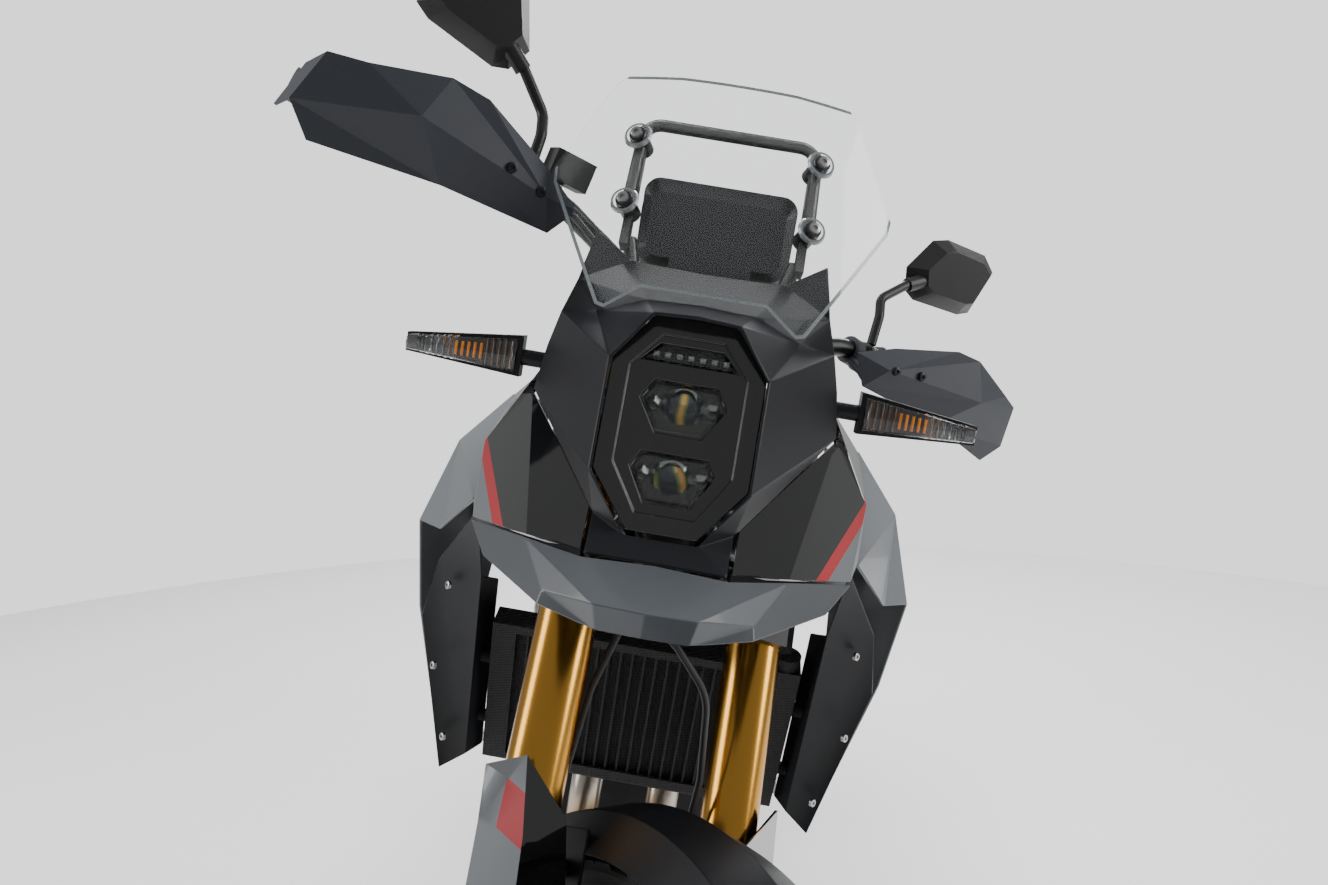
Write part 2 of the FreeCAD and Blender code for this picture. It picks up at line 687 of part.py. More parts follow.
def cylinders():
    """Twin cylinder block, head and cam cover, leaning forward."""
    barrel = block(-108, 108, -88, 84, 6, 120)
    head = block(-112, 112, -98, 92, 120, 215)
    cover = lofted_up([(0, -3, 108, 86, 215), (0, -3, 106, 84, 234)])
    crown = lofted_up([(0, -3, 106, 84, 234), (0, -3, 88, 64, 262)])
    bosses = [crown]
    for y in (-74, 66):
        for x in (-92, 0, 92):
            bosses.append(rod(V(x, y, 200), V(x, y, 244), 10))
    for side in (-1, 1):
        for z in (34, 60, 86):
            bosses.append(block(side * 110 - 3, side * 110 + 3, -80, 76, z, z + 6))
        bosses.append(rod(V(side * 110, 0, 168), V(side * 118, 0, 168), 30, 27))
        bosses.append(rod(V(side * HOSE_X, -60, HOSE_PORTS[side]), V(side * HOSE_X, -104, HOSE_PORTS[side]), HOSE_NECK_R + 5))
        bosses.append(rod(V(side * HOSE_X, -60, HOSE_PORTS[side]), V(side * HOSE_X, -126, HOSE_PORTS[side]), HOSE_NECK_R))
    for x in (-46, 46):
        bosses.append(rod(V(x, -3, 250), V(x, -3, 274), 16, 14))
        bosses.append(rod(V(x, -96, 168), V(x, -108, 166), 26))
        bosses.append(rod(V(x, 90, 175), V(x, 128, 190), 24))
    upright = barrel.multiFuse([head, cover] + bosses)
    return tilted(upright)


def lofted_up(stations):
    """Loft of rectangles stacked upwards; columns: x, y, half width, half depth, z."""
    wires = []
    for x, y, w, d, z in stations:
        wires.append(Part.makePolygon([V(x - w, y - d, z), V(x + w, y - d, z), V(x + w, y + d, z), V(x - w, y + d, z), V(x - w, y - d, z)]))
    return Part.makeLoft(wires, True, True)


def round_cover(side, y, z, radius, steps, bosses):
    """A turned cover bolted to the case; steps columns: depth, share of the radius."""
    start = V(side * (CASE_HALF + BEAD_FIT), y, z)
    shapes = []
    low = 0.0
    for depth, share in steps:
        shapes.append(rod(start + ACROSS * (side * low), start + ACROSS * (side * depth), radius * share, radius * share - (depth - low) * 0.2))
        low = depth
    for i in range(bosses):
        angle = 360.0 * (i + 0.5) / bosses
        spot = start + V(0, (radius - 2) * cos_deg(angle), (radius - 2) * sin_deg(angle))
        shapes.append(rod(spot, spot + ACROSS * (side * (steps[0][0] + 2)), COVER_BOSS_R))
    return shapes[0].multiFuse(shapes[1:])


def engine_covers():
    """Clutch cover, generator cover, water pump and sprocket cover, each bolted to the case."""
    clutch = round_cover(-1, 66, 392, 92, ((12, 1), (28, 0.94), (42, 0.76)), 9)
    timing = round_cover(-1, -98, 400, 60, ((10, 1), (20, 0.88)), 5)
    generator = round_cover(1, -78, 398, 82, ((12, 1), (28, 0.9), (36, 0.6)), 8)
    pump = round_cover(1, 20, 470, 28, ((14, 1), (22, 0.7)), 3)
    sprocket_cover = side_plate([(82, 350), (140, 322), (196, 330), (196, 452), (150, 470), (82, 440)], 104.4, 112)
    ribs = [side_plate([(96 + 22 * i, 348), (101 + 22 * i, 346), (101 + 22 * i, 440), (96 + 22 * i, 438)], 111, 115) for i in range(4)]
    return Part.makeCompound([clutch.multiFuse([timing]), generator, pump, sprocket_cover.multiFuse(ribs)])


def skid_plate():
    """Pressed bash plate under the headers and sump."""
    corners = {
        "top": V(0, -344, 470), "top_side": V(92, -330, 466),
        "bend": V(0, -318, 262), "bend_side": V(112, -300, 268),
        "low": V(0, -262, 224), "low_side": V(104, -255, 226),
        "rear": V(0, 70, 222), "rear_side": V(96, 70, 224),
        "wing": V(124, -190, 300), "wing_rear": V(116, 60, 268),
    }
    faces = [
        ("bend", "bend_side", "top_side", "top"),
        ("low", "low_side", "bend_side", "bend"),
        ("rear", "rear_side", "low_side", "low"),
        ("low_side", "wing", "bend_side"),
        ("low_side", "rear_side", "wing_rear", "wing"),
    ]
    plate = whole(panel(corners, faces, 4))
    posts = [rod(V(x, y, 221), V(x, y, top - SEAM), 6) for x, y, top in ((58, -60, 284), (58, 40, 284), (-92, 4, 292))]
    floor_cut = block(-130, 130, -400, 120, 180, 222)
    return plate.multiFuse([post.cut(floor_cut) for post in posts])


RADIATOR_FOOT = V(0, -352, 572)
RADIATOR_TILT = 19.0
RADIATOR_HALF = 166.0
RADIATOR_TALL = 186.0


# Coolant hoses, one a side; heights of their ends at the radiator and at the engine
HOSE_X = 84.0
HOSE_NECK_R = 10.5
HOSE_WALL = 3.0
RADIATOR_NECKS = {-1: RADIATOR_TALL - 44.0, 1: 34.0}
HOSE_PORTS = {-1: 192.0, 1: 62.0}


def radiator_point(x, y, z):
    """Point given in the radiator's own upright frame."""
    c, s = cos_deg(RADIATOR_TILT), sin_deg(RADIATOR_TILT)
    return RADIATOR_FOOT + V(x, y * c - z * s, y * s + z * c)


def coolant_hoses():
    """Short hoses pushed over the necks of the radiator and of the engine, with their clips."""
    hoses = []
    for side in (-1, 1):
        x, neck, port = side * HOSE_X, RADIATOR_NECKS[side], HOSE_PORTS[side]
        start, out = radiator_point(x, 36, neck), radiator_point(x, 72, neck)
        end, back = tilt_point(x, -106, port), tilt_point(x, -136, port)
        outer = HOSE_NECK_R + BEAD_FIT + HOSE_WALL
        hose = pipe([start, out, back, end], outer, 40)
        for a, b in ((start, out), (end, back)):
            run = (b - a).normalize()
            hose = hose.fuse(rod(a + run * 5, a + run * 12, outer + 1.5))
            hose = hose.cut(rod(a - run * 20, a + run * 22, HOSE_NECK_R + BEAD_FIT))
        hoses.append(hose)
    return Part.makeCompound(hoses)


def radiator_back(z):
    """Where the radiator's rear face lies at a height."""
    rise = (z - RADIATOR_FOOT.z - 30 * sin_deg(RADIATOR_TILT)) / cos_deg(RADIATOR_TILT)
    return RADIATOR_FOOT.y + 30 * cos_deg(RADIATOR_TILT) - rise * sin_deg(RADIATOR_TILT)


def radiator():
    """Finned core in its frame, with side tanks and the hose necks."""
    core = block(-RADIATOR_HALF + 24, RADIATOR_HALF - 24, 6, 24, 8, RADIATOR_TALL - 8)
    shapes = [core]
    for side in (-1, 1):
        inner, outer = sorted((side * (RADIATOR_HALF - 26), side * RADIATOR_HALF))
        shapes.append(block(inner, outer, 0, 30, 0, RADIATOR_TALL))
    shapes.append(block(-RADIATOR_HALF, RADIATOR_HALF, 0, 30, 0, 10))
    shapes.append(block(-RADIATOR_HALF, RADIATOR_HALF, 0, 30, RADIATOR_TALL - 10, RADIATOR_TALL))
    fins = 22
    gap = (2 * RADIATOR_HALF - 52) / fins
    for i in range(1, fins):
        x = -RADIATOR_HALF + 26 + gap * i
        shapes.append(block(x - 1.2, x + 1.2, 2, 8, 6, RADIATOR_TALL - 6))
    shapes.append(rod(V(-RADIATOR_HALF + 46, 12, -3), V(RADIATOR_HALF - 46, 12, -3), 9))
    for side in (-1, 1):
        neck = RADIATOR_NECKS[side]
        shapes.append(rod(V(side * HOSE_X, 20, neck), V(side * HOSE_X, 34, neck), HOSE_NECK_R + 5))
        shapes.append(rod(V(side * HOSE_X, 20, neck), V(side * HOSE_X, 54, neck), HOSE_NECK_R))
    shapes.append(rod(V(RADIATOR_HALF - 16, 15, RADIATOR_TALL - 4), V(RADIATOR_HALF - 16, 15, RADIATOR_TALL + 14), 14))
    upright = shapes[0].multiFuse(shapes[1:])
    upright.rotate(V(0, 0, 0), ACROSS, RADIATOR_TILT)
    upright.translate(RADIATOR_FOOT)
    cover = radiator_covers().Solids[0]
    centre = 1 if cover.CenterOfMass.x > 0 else -1
    bosses = []
    for y, z in ((-384, 700), (-358, 622)):
        start = V(centre * 158, y, z)
        bosses.append(trimmed(rod(start, V(centre * 210, y, z), 7), cover, start))
    bosses += [mirrored(boss) for boss in bosses]
    return upright.multiFuse(bosses)


HEADER_R = 19.0


def tilt_point(x, y, z):
    """Point given in the cylinder block's own upright frame."""
    c, s = cos_deg(CYLINDER_TILT), sin_deg(CYLINDER_TILT)
    return V(x, CYLINDER_FOOT.y + y * c - z * s, CYLINDER_FOOT.z + y * s + z * c)


def header_pipes():
    """Two headers sweep down, join under the case and lead out to the right."""
    shapes = []
    for x in (-46, 46):
        start, second = tilt_point(x, -108 - SEAM, 166 - 0.07), tilt_point(x, -150, 159)
        aim = (second - start).normalize()
        route = [V(x, -286, 520), V(x, -276, 400), V(x * 0.7 - 10, -232, 276), V(-40 + x * 0.35, -120, 256)]
        shapes.append(pipe([start, second] + route, HEADER_R, 60))
        shapes.append(rod(start, start + aim * 7, 26))
    shapes.append(rod(V(-42, -128, 256), V(-52, 60, 254), 25, 24))
    aim = (CAN_END - CAN_START).normalize()
    lead = CAN_START - aim * 70
    last = CAN_START - aim * SEAM
    shapes.append(bar([(-52, 50, 254), (-100, 150, 252), (-160, 262, 262), (-190, 318, 340), lead, last], 23, 80))
    return shapes[0].multiFuse(shapes[1:])


CAN_START = V(-192, 420, 452)
CAN_END = V(-200, 830, 640)


CAN_HALF = 46.0
CAN_OVAL = 15.0


def oval(centre, heading, radius, half):
    """Upright oval section square to a heading: two half rounds a distance apart."""
    wide = heading.cross(UP).normalize()
    lift = wide.cross(heading)
    high, low = centre + lift * half, centre - lift * half
    edges = [
        Part.Arc(high - wide * radius, high + lift * radius, high + wide * radius),
        Part.LineSegment(high + wide * radius, low + wide * radius),
        Part.Arc(low + wide * radius, low - lift * radius, low - wide * radius),
        Part.LineSegment(low - wide * radius, high - wide * radius),
    ]
    return Part.Wire([edge.toShape() for edge in edges])


def silencer():
    """Oval can rising to the rear on the right, with its bands, end cap, outlet and hanger."""
    heading = (CAN_END - CAN_START).normalize()
    length = (CAN_END - CAN_START).Length

    def section(along, radius, half):
        return oval(CAN_START + heading * along, heading, radius, half)

    cone = Part.makeLoft([section(0, 27, 2), section(74, CAN_HALF, CAN_OVAL)], True, True)
    can = Part.makeLoft([section(74, CAN_HALF, CAN_OVAL), section(length, CAN_HALF, CAN_OVAL)], True, True)
    cap = Part.makeLoft([section(length - 6, CAN_HALF + 2, CAN_OVAL), section(length + 26, CAN_HALF - 10, CAN_OVAL - 3)], True, True)
    shapes = [can, cap]
    for along in (84, length - 96):
        shapes.append(Part.makeLoft([section(along, CAN_HALF + 2, CAN_OVAL), section(along + 14, CAN_HALF + 2, CAN_OVAL)], True, True))
    shapes.append(rod(CAN_END + heading * 20, CAN_END + heading * 44, 20))
    shapes.append(block(-190, -128, 604, 636, 585, 597))
    shape = cone.multiFuse(shapes)
    return shape.cut(rod(CAN_END, CAN_END + heading * 50, 15))


# Bodywork

TANK = [
    (-266, 92, 882, 1000, 34), (-210, 150, 846, 1030, 52), (-105, 176, 832, 1046, 70),
    (5, 160, 812, 1012, 62), (70, 118, 800, 940, 44), (96, 98, 800, 892, 34),
]
RIDER_SEAT = [(98, 88, 812, 872, 16), (180, 112, 822, 862, 18), (300, 150, 826, 858, 15), (400, 152, 844, 884, 18), (444, 132, 866, 922, 18)]
PILLION_SEAT = [(448, 120, 880, 934, 18), (600, 118, 896, 936, 16), (760, 92, 914, 942, 13)]


def fuel_tank():
    body = lofted(TANK)
    neck = rod(V(0, -150, 1030), V(0, -150, 1052), 44)
    return fused(body, neck)


CAP_HINGE = V(0, -198, 1058)


def fuel_cap():
    lid = rod(V(0, -150, 1053), V(0, -150, 1062), 42, 39)
    lug = rod(CAP_HINGE - ACROSS * 9, CAP_HINGE + ACROSS * 9, 5)
    return fused(lid, lug, block(-9, 9, -196, -150, 1054, 1061))


def rider_seat():
    return lofted(RIDER_SEAT)


def pillion_seat():
    return lofted(PILLION_SEAT)


def tank_shrouds():
    """Grey side shrouds, widest beside the radiator and pointed at the foot."""
    corners = {
        "top": V(194, -330, 985), "tip": V(187, -507, 896), "notch": V(238, -412, 838),
        "shoulder": V(240, -366, 928), "wide": V(268, -380, 836), "mid": V(256, -376, 740),
        "foot": V(209, -372, 562), "rear_foot": V(214, -300, 640), "rear_mid": V(222, -150, 762),
        "rear": V(200, -50, 850), "rear_top": V(184, -110, 960),
    }
    faces = [
        ("tip", "shoulder", "top"),
        ("tip", "notch", "shoulder"),
        ("notch", "wide", "shoulder"),
        ("wide", "rear_mid", "rear", "rear_top", "shoulder"),
        ("shoulder", "rear_top", "top"),
        ("mid", "rear_foot", "rear_mid", "wide"),
        ("foot", "rear_foot", "mid"),
    ]
    return pair(panel(corners, faces, WALL))


def side_fairings():
    """Gloss side fairings between the nose cowl, the beak's split line and the tank."""
    corners = {
        "cowl_top": V(129, -506, 1052), "cowl": V(145, -508, 1008), "cowl_low": V(64, -632, 934),
        "ridge": V(62, -674, 904), "split": V(110, -650, 904), "wing": V(173, -566, 892),
        "tip": V(186, -508, 898), "bulge": V(186, -494, 952), "tank": V(193, -331, 984),
        "tank_in": V(156, -322, 1028),
    }
    faces = [
        ("cowl_low", "ridge", "split", "cowl"),
        ("cowl", "split", "wing", "bulge"),
        ("wing", "tip", "bulge"),
        ("bulge", "tip", "tank"),
        ("bulge", "tank", "tank_in", "cowl_top"),
        ("cowl", "bulge", "cowl_top"),
    ]
    side = panel(corners, faces, WALL)
    start = V(100, INDICATOR_Y, INDICATOR_Z)
    side = side.cut(rod(start, start + ACROSS * 90, INDICATOR_STALK_R + SEAM))
    clamp_sweep = rod(fork_point(0, UPPER_CLAMP - 40, 0), fork_point(0, UPPER_CLAMP + 60, 0), FORK_X + 50)
    tube_sweep = rod(fork_point(0, LOWER_CLAMP, 0), fork_point(0, UPPER_CLAMP, 0), math.hypot(FORK_X, FORK_AHEAD) + FORK_OUTER_R + 6)
    return pair(side.cut(clamp_sweep).cut(tube_sweep))


def radiator_covers():
    """Black side covers of the radiator, bolted on at three points."""
    corners = {
        "top_in": V(182, -430, 800), "top_out": V(234, -410, 804), "mid_out": V(246, -398, 738),
        "foot_out": V(208, -378, 560), "foot_in": V(182, -371, 578), "back_top": V(170, -392, 790),
        "back_foot": V(170, -340, 580), "tip": V(182, -500, 886),
    }
    faces = [
        ("foot_in", "foot_out", "mid_out", "top_out", "top_in"),
        ("foot_in", "top_in", "back_top", "back_foot"),
        ("top_in", "top_out", "tip"),
    ]
    return pair(panel(corners, faces, WALL))


def nose_cowl():
    """Matt cowl round the lamp unit, from the instrument's edge to the beak."""
    corners = {
        "brow": V(0, -549, 1112), "brow_side": V(50, -544, 1110), "tip_side": V(94, -532, 1093),
        "crest": V(0, -508, 1142), "crest_side": V(72, -496, 1144), "shoulder": V(110, -486, 1168),
        "waist": V(120, -502, 1119), "wing_top": V(127, -529, 1088), "wing": V(137, -517, 1054),
        "wing_low": V(144, -515, 1012), "chin_side": V(60, -640, 930), "chin": V(58, -686, 906),
        "chin_mid": V(0, -692, 908),
        "lamp_top": V(0, -634, 1103), "lamp_1": V(36, -630, 1101), "lamp_2": V(67, -632, 1060),
        "lamp_3": V(67, -654, 967), "lamp_4": V(31, -670, 922), "lamp_low": V(0, -670, 922),
    }
    faces = [
        ("lamp_top", "lamp_1", "brow_side", "brow"),
        ("brow", "brow_side", "crest_side", "crest"),
        ("lamp_1", "lamp_2", "tip_side", "brow_side"),
        ("brow_side", "tip_side", "waist", "crest_side"),
        ("crest_side", "waist", "shoulder"),
        ("lamp_2", "wing_top", "tip_side"),
        ("tip_side", "wing_top", "waist"),
        ("lamp_2", "wing", "wing_top"),
        ("lamp_2", "lamp_3", "wing_low", "wing"),
        ("lamp_3", "lamp_4", "chin_side", "wing_low"),
        ("lamp_4", "lamp_low", "chin_mid", "chin", "chin_side"),
    ]
    return whole(panel(corners, faces, WALL))


def octagon(top, upper, lower, bottom):
    """Mirror-symmetric outline; each argument: half width, z."""
    right = [bottom, lower, upper, top]
    return right + [(-x, z) for x, z in reversed(right)]


def headlamp():
    """Lamp housing with its stepped bezel and three lens windows."""
    outer = front_plate(octagon((35, 1100), (65.5, 1059), (65.5, 968), (30, 923.5)), -700, -520)
    slab = prism([V(-80, -607, 1110), V(-80, -660, 915), V(-80, -610, 915), V(-80, -560, 1110)], V(160, 0, 0))
    body = outer.common(slab)
    recess = front_plate(octagon((26, 1084), (50, 1056), (50, 976), (25, 938)), -700, -560)
    slope = prism([V(-80, -700, 1110), V(-80, -700, 915), V(-80, -655, 915), V(-80, -602, 1110)], V(160, 0, 0))
    body = body.cut(recess.common(slope))
    pocket = prism([V(-80, -700, 1110), V(-80, -700, 915), V(-80, -639.5, 915), V(-80, -587.5, 1110)], V(160, 0, 0))
    for outline in LENSES:
        body = body.cut(front_plate(outline, -700, -500).common(pocket))
    return body


LENSES = (
    [(-20, 1003), (20, 1003), (37, 1030), (27, 1046), (-27, 1046), (-37, 1030)],
    [(-20, 946), (20, 946), (36, 974), (28, 987), (-28, 987), (-36, 974)],
    [(-42, 1061), (42, 1061), (27, 1076), (-27, 1076)],
)


def headlamp_lenses():
    lenses = []
    for outline in LENSES:
        cx = sum(x for x, z in outline) / len(outline)
        cz = sum(z for x, z in outline) / len(outline)
        shrunk = [(cx + (x - cx) * 0.97, cz + (z - cz) * 0.97) for x, z in outline]
        plate = front_plate(shrunk, -700, -560)
        slab = prism([V(-80, -600, 1110), V(-80, -652, 915), V(-80, -640, 915), V(-80, -588, 1110)], V(160, 0, 0))
        lenses.append(plate.common(slab))
    return lenses


def beak():
    """Grey lip of the beak, with a crease and two ridges running to its point."""
    corners = {
        "top_mid": V(0, -694, 907), "ridge_top": V(59, -688, 903), "split": V(110, -656, 903),
        "wing": V(174, -570, 890), "nose": V(0, -752, 884), "ridge": V(40, -742, 882),
        "crease": V(84, -702, 874), "lip": V(0, -738, 860), "lip_ridge": V(36, -732, 859),
        "lip_side": V(86, -706, 864), "lip_wing": V(150, -616, 871),
    }
    faces = [
        ("lip", "lip_ridge", "ridge", "nose"),
        ("nose", "ridge", "ridge_top", "top_mid"),
        ("lip_ridge", "lip_side", "crease", "ridge"),
        ("ridge", "crease", "split", "ridge_top"),
        ("lip_side", "lip_wing", "crease"),
        ("crease", "lip_wing", "wing", "split"),
    ]
    return whole(panel(corners, faces, WALL))


SCREEN_SWEEP = 280.0
SCREEN_SLOPE = 0.5


def windscreen():
    """Clear screen: a sheet rolled to SCREEN_SWEEP and cut to its outline."""
    low, high = 1080.0, 1340.0
    foot = V(0, -510 + (low - 1201) * SCREEN_SLOPE, low)
    half = 200.0

    def arc(radius, shift):
        rise = radius - math.sqrt(radius * radius - half * half)
        ends = [foot + V(side * half, rise + shift, 0) for side in (-1, 1)]
        return ends, foot + V(0, shift, 0)

    (a, b), middle = arc(SCREEN_SWEEP, 0)
    (c, d), inner = arc(SCREEN_SWEEP, SCREEN_THICK)
    edges = [Part.Arc(a, middle, b), Part.LineSegment(b, d), Part.Arc(d, inner, c), Part.LineSegment(c, a)]
    sheet = Part.Face(Part.Wire([edge.toShape() for edge in edges]))
    sheet = sheet.extrude(V(0, (high - low) * SCREEN_SLOPE, high - low))
    outline = [
        (57, 1120), (87, 1097), (96, 1099), (164, 1208), (166, 1222), (122, 1312), (110, 1323), (56, 1327),
        (-56, 1327), (-110, 1323), (-122, 1312), (-166, 1222), (-164, 1208), (-96, 1099), (-87, 1097), (-57, 1120),
    ]
    screen = sheet.common(front_plate(outline, -700, -300))
    for x, z in SCREEN_BOLTS:
        spot, inward = screen_spot(x, z)
        screen = screen.cut(rod(spot - inward * 20, spot + inward * 20, 4.3))
    return screen


SCREEN_BOLTS = [(side * 88, z) for side in (-1, 1) for z in (1197, 1262)]


def screen_y(x, z):
    rise = SCREEN_SWEEP - math.sqrt(SCREEN_SWEEP * SCREEN_SWEEP - x * x)
    return -510 + (z - 1201) * SCREEN_SLOPE + rise


def screen_spot(x, z):
    """Point on the screen's front face and the direction square through it."""
    inward = V(-x / math.sqrt(SCREEN_SWEEP * SCREEN_SWEEP - x * x), 1, -SCREEN_SLOPE)
    return V(x, screen_y(x, z), z), inward.normalize()


def screen_hoop():
    """Black hoop behind the screen, its side rails and the four clamp bosses."""
    top = screen_y(84, 1278) + 13
    foot = screen_y(86, 1190) + 13
    hoop_bar = pipe([V(-86, foot, 1190), V(-84, top, 1278), V(84, top, 1278), V(86, foot, 1190)], 6, 18)
    shapes = []
    for side in (-1, 1):
        edge = [(screen_y(90, z) + back, z) for z, back in ((1158, 12), (1272, 12), (1272, 26), (1152, 42))]
        rail = side_plate(edge, 79, 87)
        shapes.append(rail if side == 1 else mirrored(rail))
    for x, z in SCREEN_BOLTS:
        spot, inward = screen_spot(x, z)
        shapes.append(rod(spot + inward * (SCREEN_THICK + SEAM), spot + inward * 24, 9))
        shapes.append(rod(spot - inward * 3, spot + inward * 12, 4))
        shapes.append(rod(spot - inward * (SEAM + 4), spot - inward * SEAM, 8))
    return hoop_bar.multiFuse(shapes)


INDICATOR_Y = -486.0
INDICATOR_Z = 1037.0


def cowl_stay():
    """Tube frame from the steering head that carries lamp, cowl, screen and instrument."""
    side = bar([(17, -436, 928), (24, -520, 972), (36, -552, 1030), (60, -500, 1098), (80, -474, 1164)], 7, 40)
    side = side.fuse(bar([(24, -516, 968), (44, -580, 916), (52, -650, 908)], 6, 30))
    side = side.fuse(bar([(30, -545, 1010), (80, -516, 1020), (124, INDICATOR_Y, INDICATOR_Z)], 6, 30))
    side = side.fuse(rod(V(116, INDICATOR_Y, INDICATOR_Z), V(134 - SEAM, INDICATOR_Y, INDICATOR_Z), 7))
    side = side.fuse(trimmed(rod(V(52, -650, 907), V(52, -740, 866), 6), beak(), V(52, -650, 907)))
    cross = rod(V(-36, -552, 1030), V(36, -552, 1030), 7)
    shelf = block(-66, 66, -470, -440, 1128, 1134)
    arm = bar([(58, -500, 1098), (50, -462, 1124)], 6, 20)
    body = side.multiFuse([mirrored(side), cross, shelf, arm, mirrored(arm), screen_hoop()])
    return body.cut(rod(fork_point(0, 900, 0), fork_point(0, 1200, 0), HEAD_TUBE_R + BEAD_FIT))


def instrument():
    """Display unit with its rounded hood, recessed face and foot, behind the screen."""
    hood = lofted([(-450, 66, 1154, 1216, 12), (-441, 76, 1147, 1230, 16), (-404, 76, 1141, 1233, 16)])
    face = hoop(-398, 68, 1149, 1222, 10)
    hood = hood.cut(Part.Face(face).extrude(V(0, -14, 0)))
    foot = block(-40, 40, -466, -426, 1134 + SEAM, 1156)
    return hood.fuse(foot)


def tapered(start, end, first, last, depth):
    """Flat tapering body across the machine; first and last are its half heights."""
    wires = []
    for at, half in ((start, first), (end, last)):
        wires.append(Part.makePolygon([at + V(0, -depth, -half), at + V(0, depth, -half), at + V(0, depth, half), at + V(0, -depth, half), at + V(0, -depth, -half)]))
    return Part.makeLoft(wires, True, True)


INDICATOR_STALK_R = 8.0


def indicator_bodies():
    """Stalks and shells of the four indicators."""
    front_stalk = rod(V(134, INDICATOR_Y, INDICATOR_Z), V(166, INDICATOR_Y, INDICATOR_Z), INDICATOR_STALK_R)
    front_body = tapered(V(163, -486, 1038), V(273, -492, 1035), 20, 9, 9)
    rear_stalk = rod(V(62.4, 968, 850), V(96, 972, 852), 7)
    rear_body = tapered(V(92, 972, 852), V(170, 976, 852), 15, 8, 9)
    return Part.makeCompound([fused(front_stalk, front_body), mirrored(fused(front_stalk, front_body)),
                              fused(rear_stalk, rear_body), mirrored(fused(rear_stalk, rear_body))])


def indicator_lenses():
    front_lens = tapered(V(167, -500.6, 1038), V(271, -506.6, 1035), 18, 7.5, 5)
    rear_lens = tapered(V(96, 986.6, 852), V(168, 990.4, 852), 13, 6.5, 5)
    return [front_lens, mirrored(front_lens), rear_lens, mirrored(rear_lens)]


def lamp_lenses():
    """Clear lenses of the headlamp and of the four indicators."""
    return Part.makeCompound(headlamp_lenses() + indicator_lenses())


def tail_panels():
    """Side panels below the seats, meeting at the tail."""
    corners = {
        "front_low": V(150, 130, 700), "front_top": V(142, 118, 800), "seat": V(154, 330, 822),
        "seat_rear": V(137, 460, 862), "tail_top": V(114, 800, 914), "tail": V(106, 950, 920),
        "tail_low": V(112, 905, 866), "mid_low": V(134, 560, 790), "knee": V(153, 300, 705),
    }
    faces = [
        ("front_low", "knee", "seat", "front_top"),
        ("knee", "mid_low", "seat_rear", "seat"),
        ("mid_low", "tail_low", "tail_top", "seat_rear"),
        ("tail_low", "tail", "tail_top"),
    ]
    return pair(panel(corners, faces, WALL))


def tail_unit():
    """Rear mudguard and the bare plate bracket."""
    profile = [(690, 850), (868, 884.7), (950.7, 884.7), (958, 868), (1000, 826), (1190, 600), (1206, 572), (1196, 566), (1180, 580),
               (990, 800), (900, 858), (690, 832)]
    guard = side_plate(profile, -62, 62)
    cut_side = prism([V(40, 1230, 540), V(70, 1230, 540), V(70, 960, 840), V(62, 960, 840)], V(0, 0, 60))
    return guard.cut(cut_side).cut(mirrored(cut_side))


def tail_lamp():
    return side_plate([(925, 885.1), (984, 885.1), (992, 902), (925, 912)], -54, 54)


RACK_TOP = 962.0
RACK_THICK = 12.0
RACK_CENTRE_Y = 870.0
RACK_PITCH = 120.0
RACK_HOLE_R = 4.2


def luggage_rack():
    """Cast rack with hand slots, four luggage holes and grab rails beside the seat."""
    outline = [(-60, 770), (60, 770), (96, 800), (100, 930), (70, 968), (-70, 968), (-100, 930), (-96, 800)]
    plate = top_plate(outline, RACK_TOP - RACK_THICK, RACK_TOP)
    for x0, x1 in ((-44, -8), (8, 44)):
        plate = plate.cut(block(x0, x1, 800, 940, RACK_TOP - 40, RACK_TOP + 10))
    for sx in (-1, 1):
        for sy in (-1, 1):
            at = V(sx * RACK_PITCH / 2, RACK_CENTRE_Y + sy * RACK_PITCH / 2, RACK_TOP - 40)
            plate = plate.cut(rod(at, at + UP * 60, RACK_HOLE_R))
    rail = bar([(96, 900, 956), (130, 790, 956), (158, 640, 944), (150, 540, 920), (132, 520, 882)], 10, 50)
    post = rod(V(95.6, 820, 901.8), V(95.6, 820, RACK_TOP - 6), 9)
    side = rail.multiFuse([post])
    return plate.multiFuse([side, mirrored(side)])


def footpegs():
    """Rider's pegs on their brackets, and the passenger's pegs on theirs."""
    bracket = side_plate([(206, 336), (252, 330), (286, 400), (286, 470), (264, 470), (258, 408), (206, 396)], 132.3, 142)
    bracket = bracket.cut(rod(V(120, PIVOT_Y, PIVOT_Z), V(160, PIVOT_Y, PIVOT_Z), 16))
    peg = block(141, 262, 222, 252, 332, 350)
    teeth = [block(158 + 16 * i, 163 + 16 * i, 220, 254, 350, 355) for i in range(7)]
    hanger = side_plate([(392, 650), (436, 684), (492, 592), (476, 566), (452, 572)], 131, 141)
    rear_peg = rod(V(141, 472, 582), V(232, 472, 582), 13)
    left = bracket.multiFuse([peg] + teeth)
    rear = fused(hanger, rear_peg)
    return Part.makeCompound([left, mirrored(left), rear, mirrored(rear)])


def foot_controls():
    """Gear lever on the left, brake pedal on the right."""
    lever = bar([(152, 216, 366), (158, 150, 374), (162, 80, 356)], 6, 60)
    toe = rod(V(158, 80, 356), V(196, 80, 356), 9)
    pedal = bar([(-152, 216, 366), (-158, 150, 350), (-172, 74, 334)], 6, 60)
    pad = block(-198, -162, 56, 84, 328, 342)
    boss = rod(V(142.3, 216, 366), V(160, 216, 366), 9)
    return Part.makeCompound([lever.multiFuse([toe, boss]), pedal.multiFuse([pad, mirrored(boss)])])


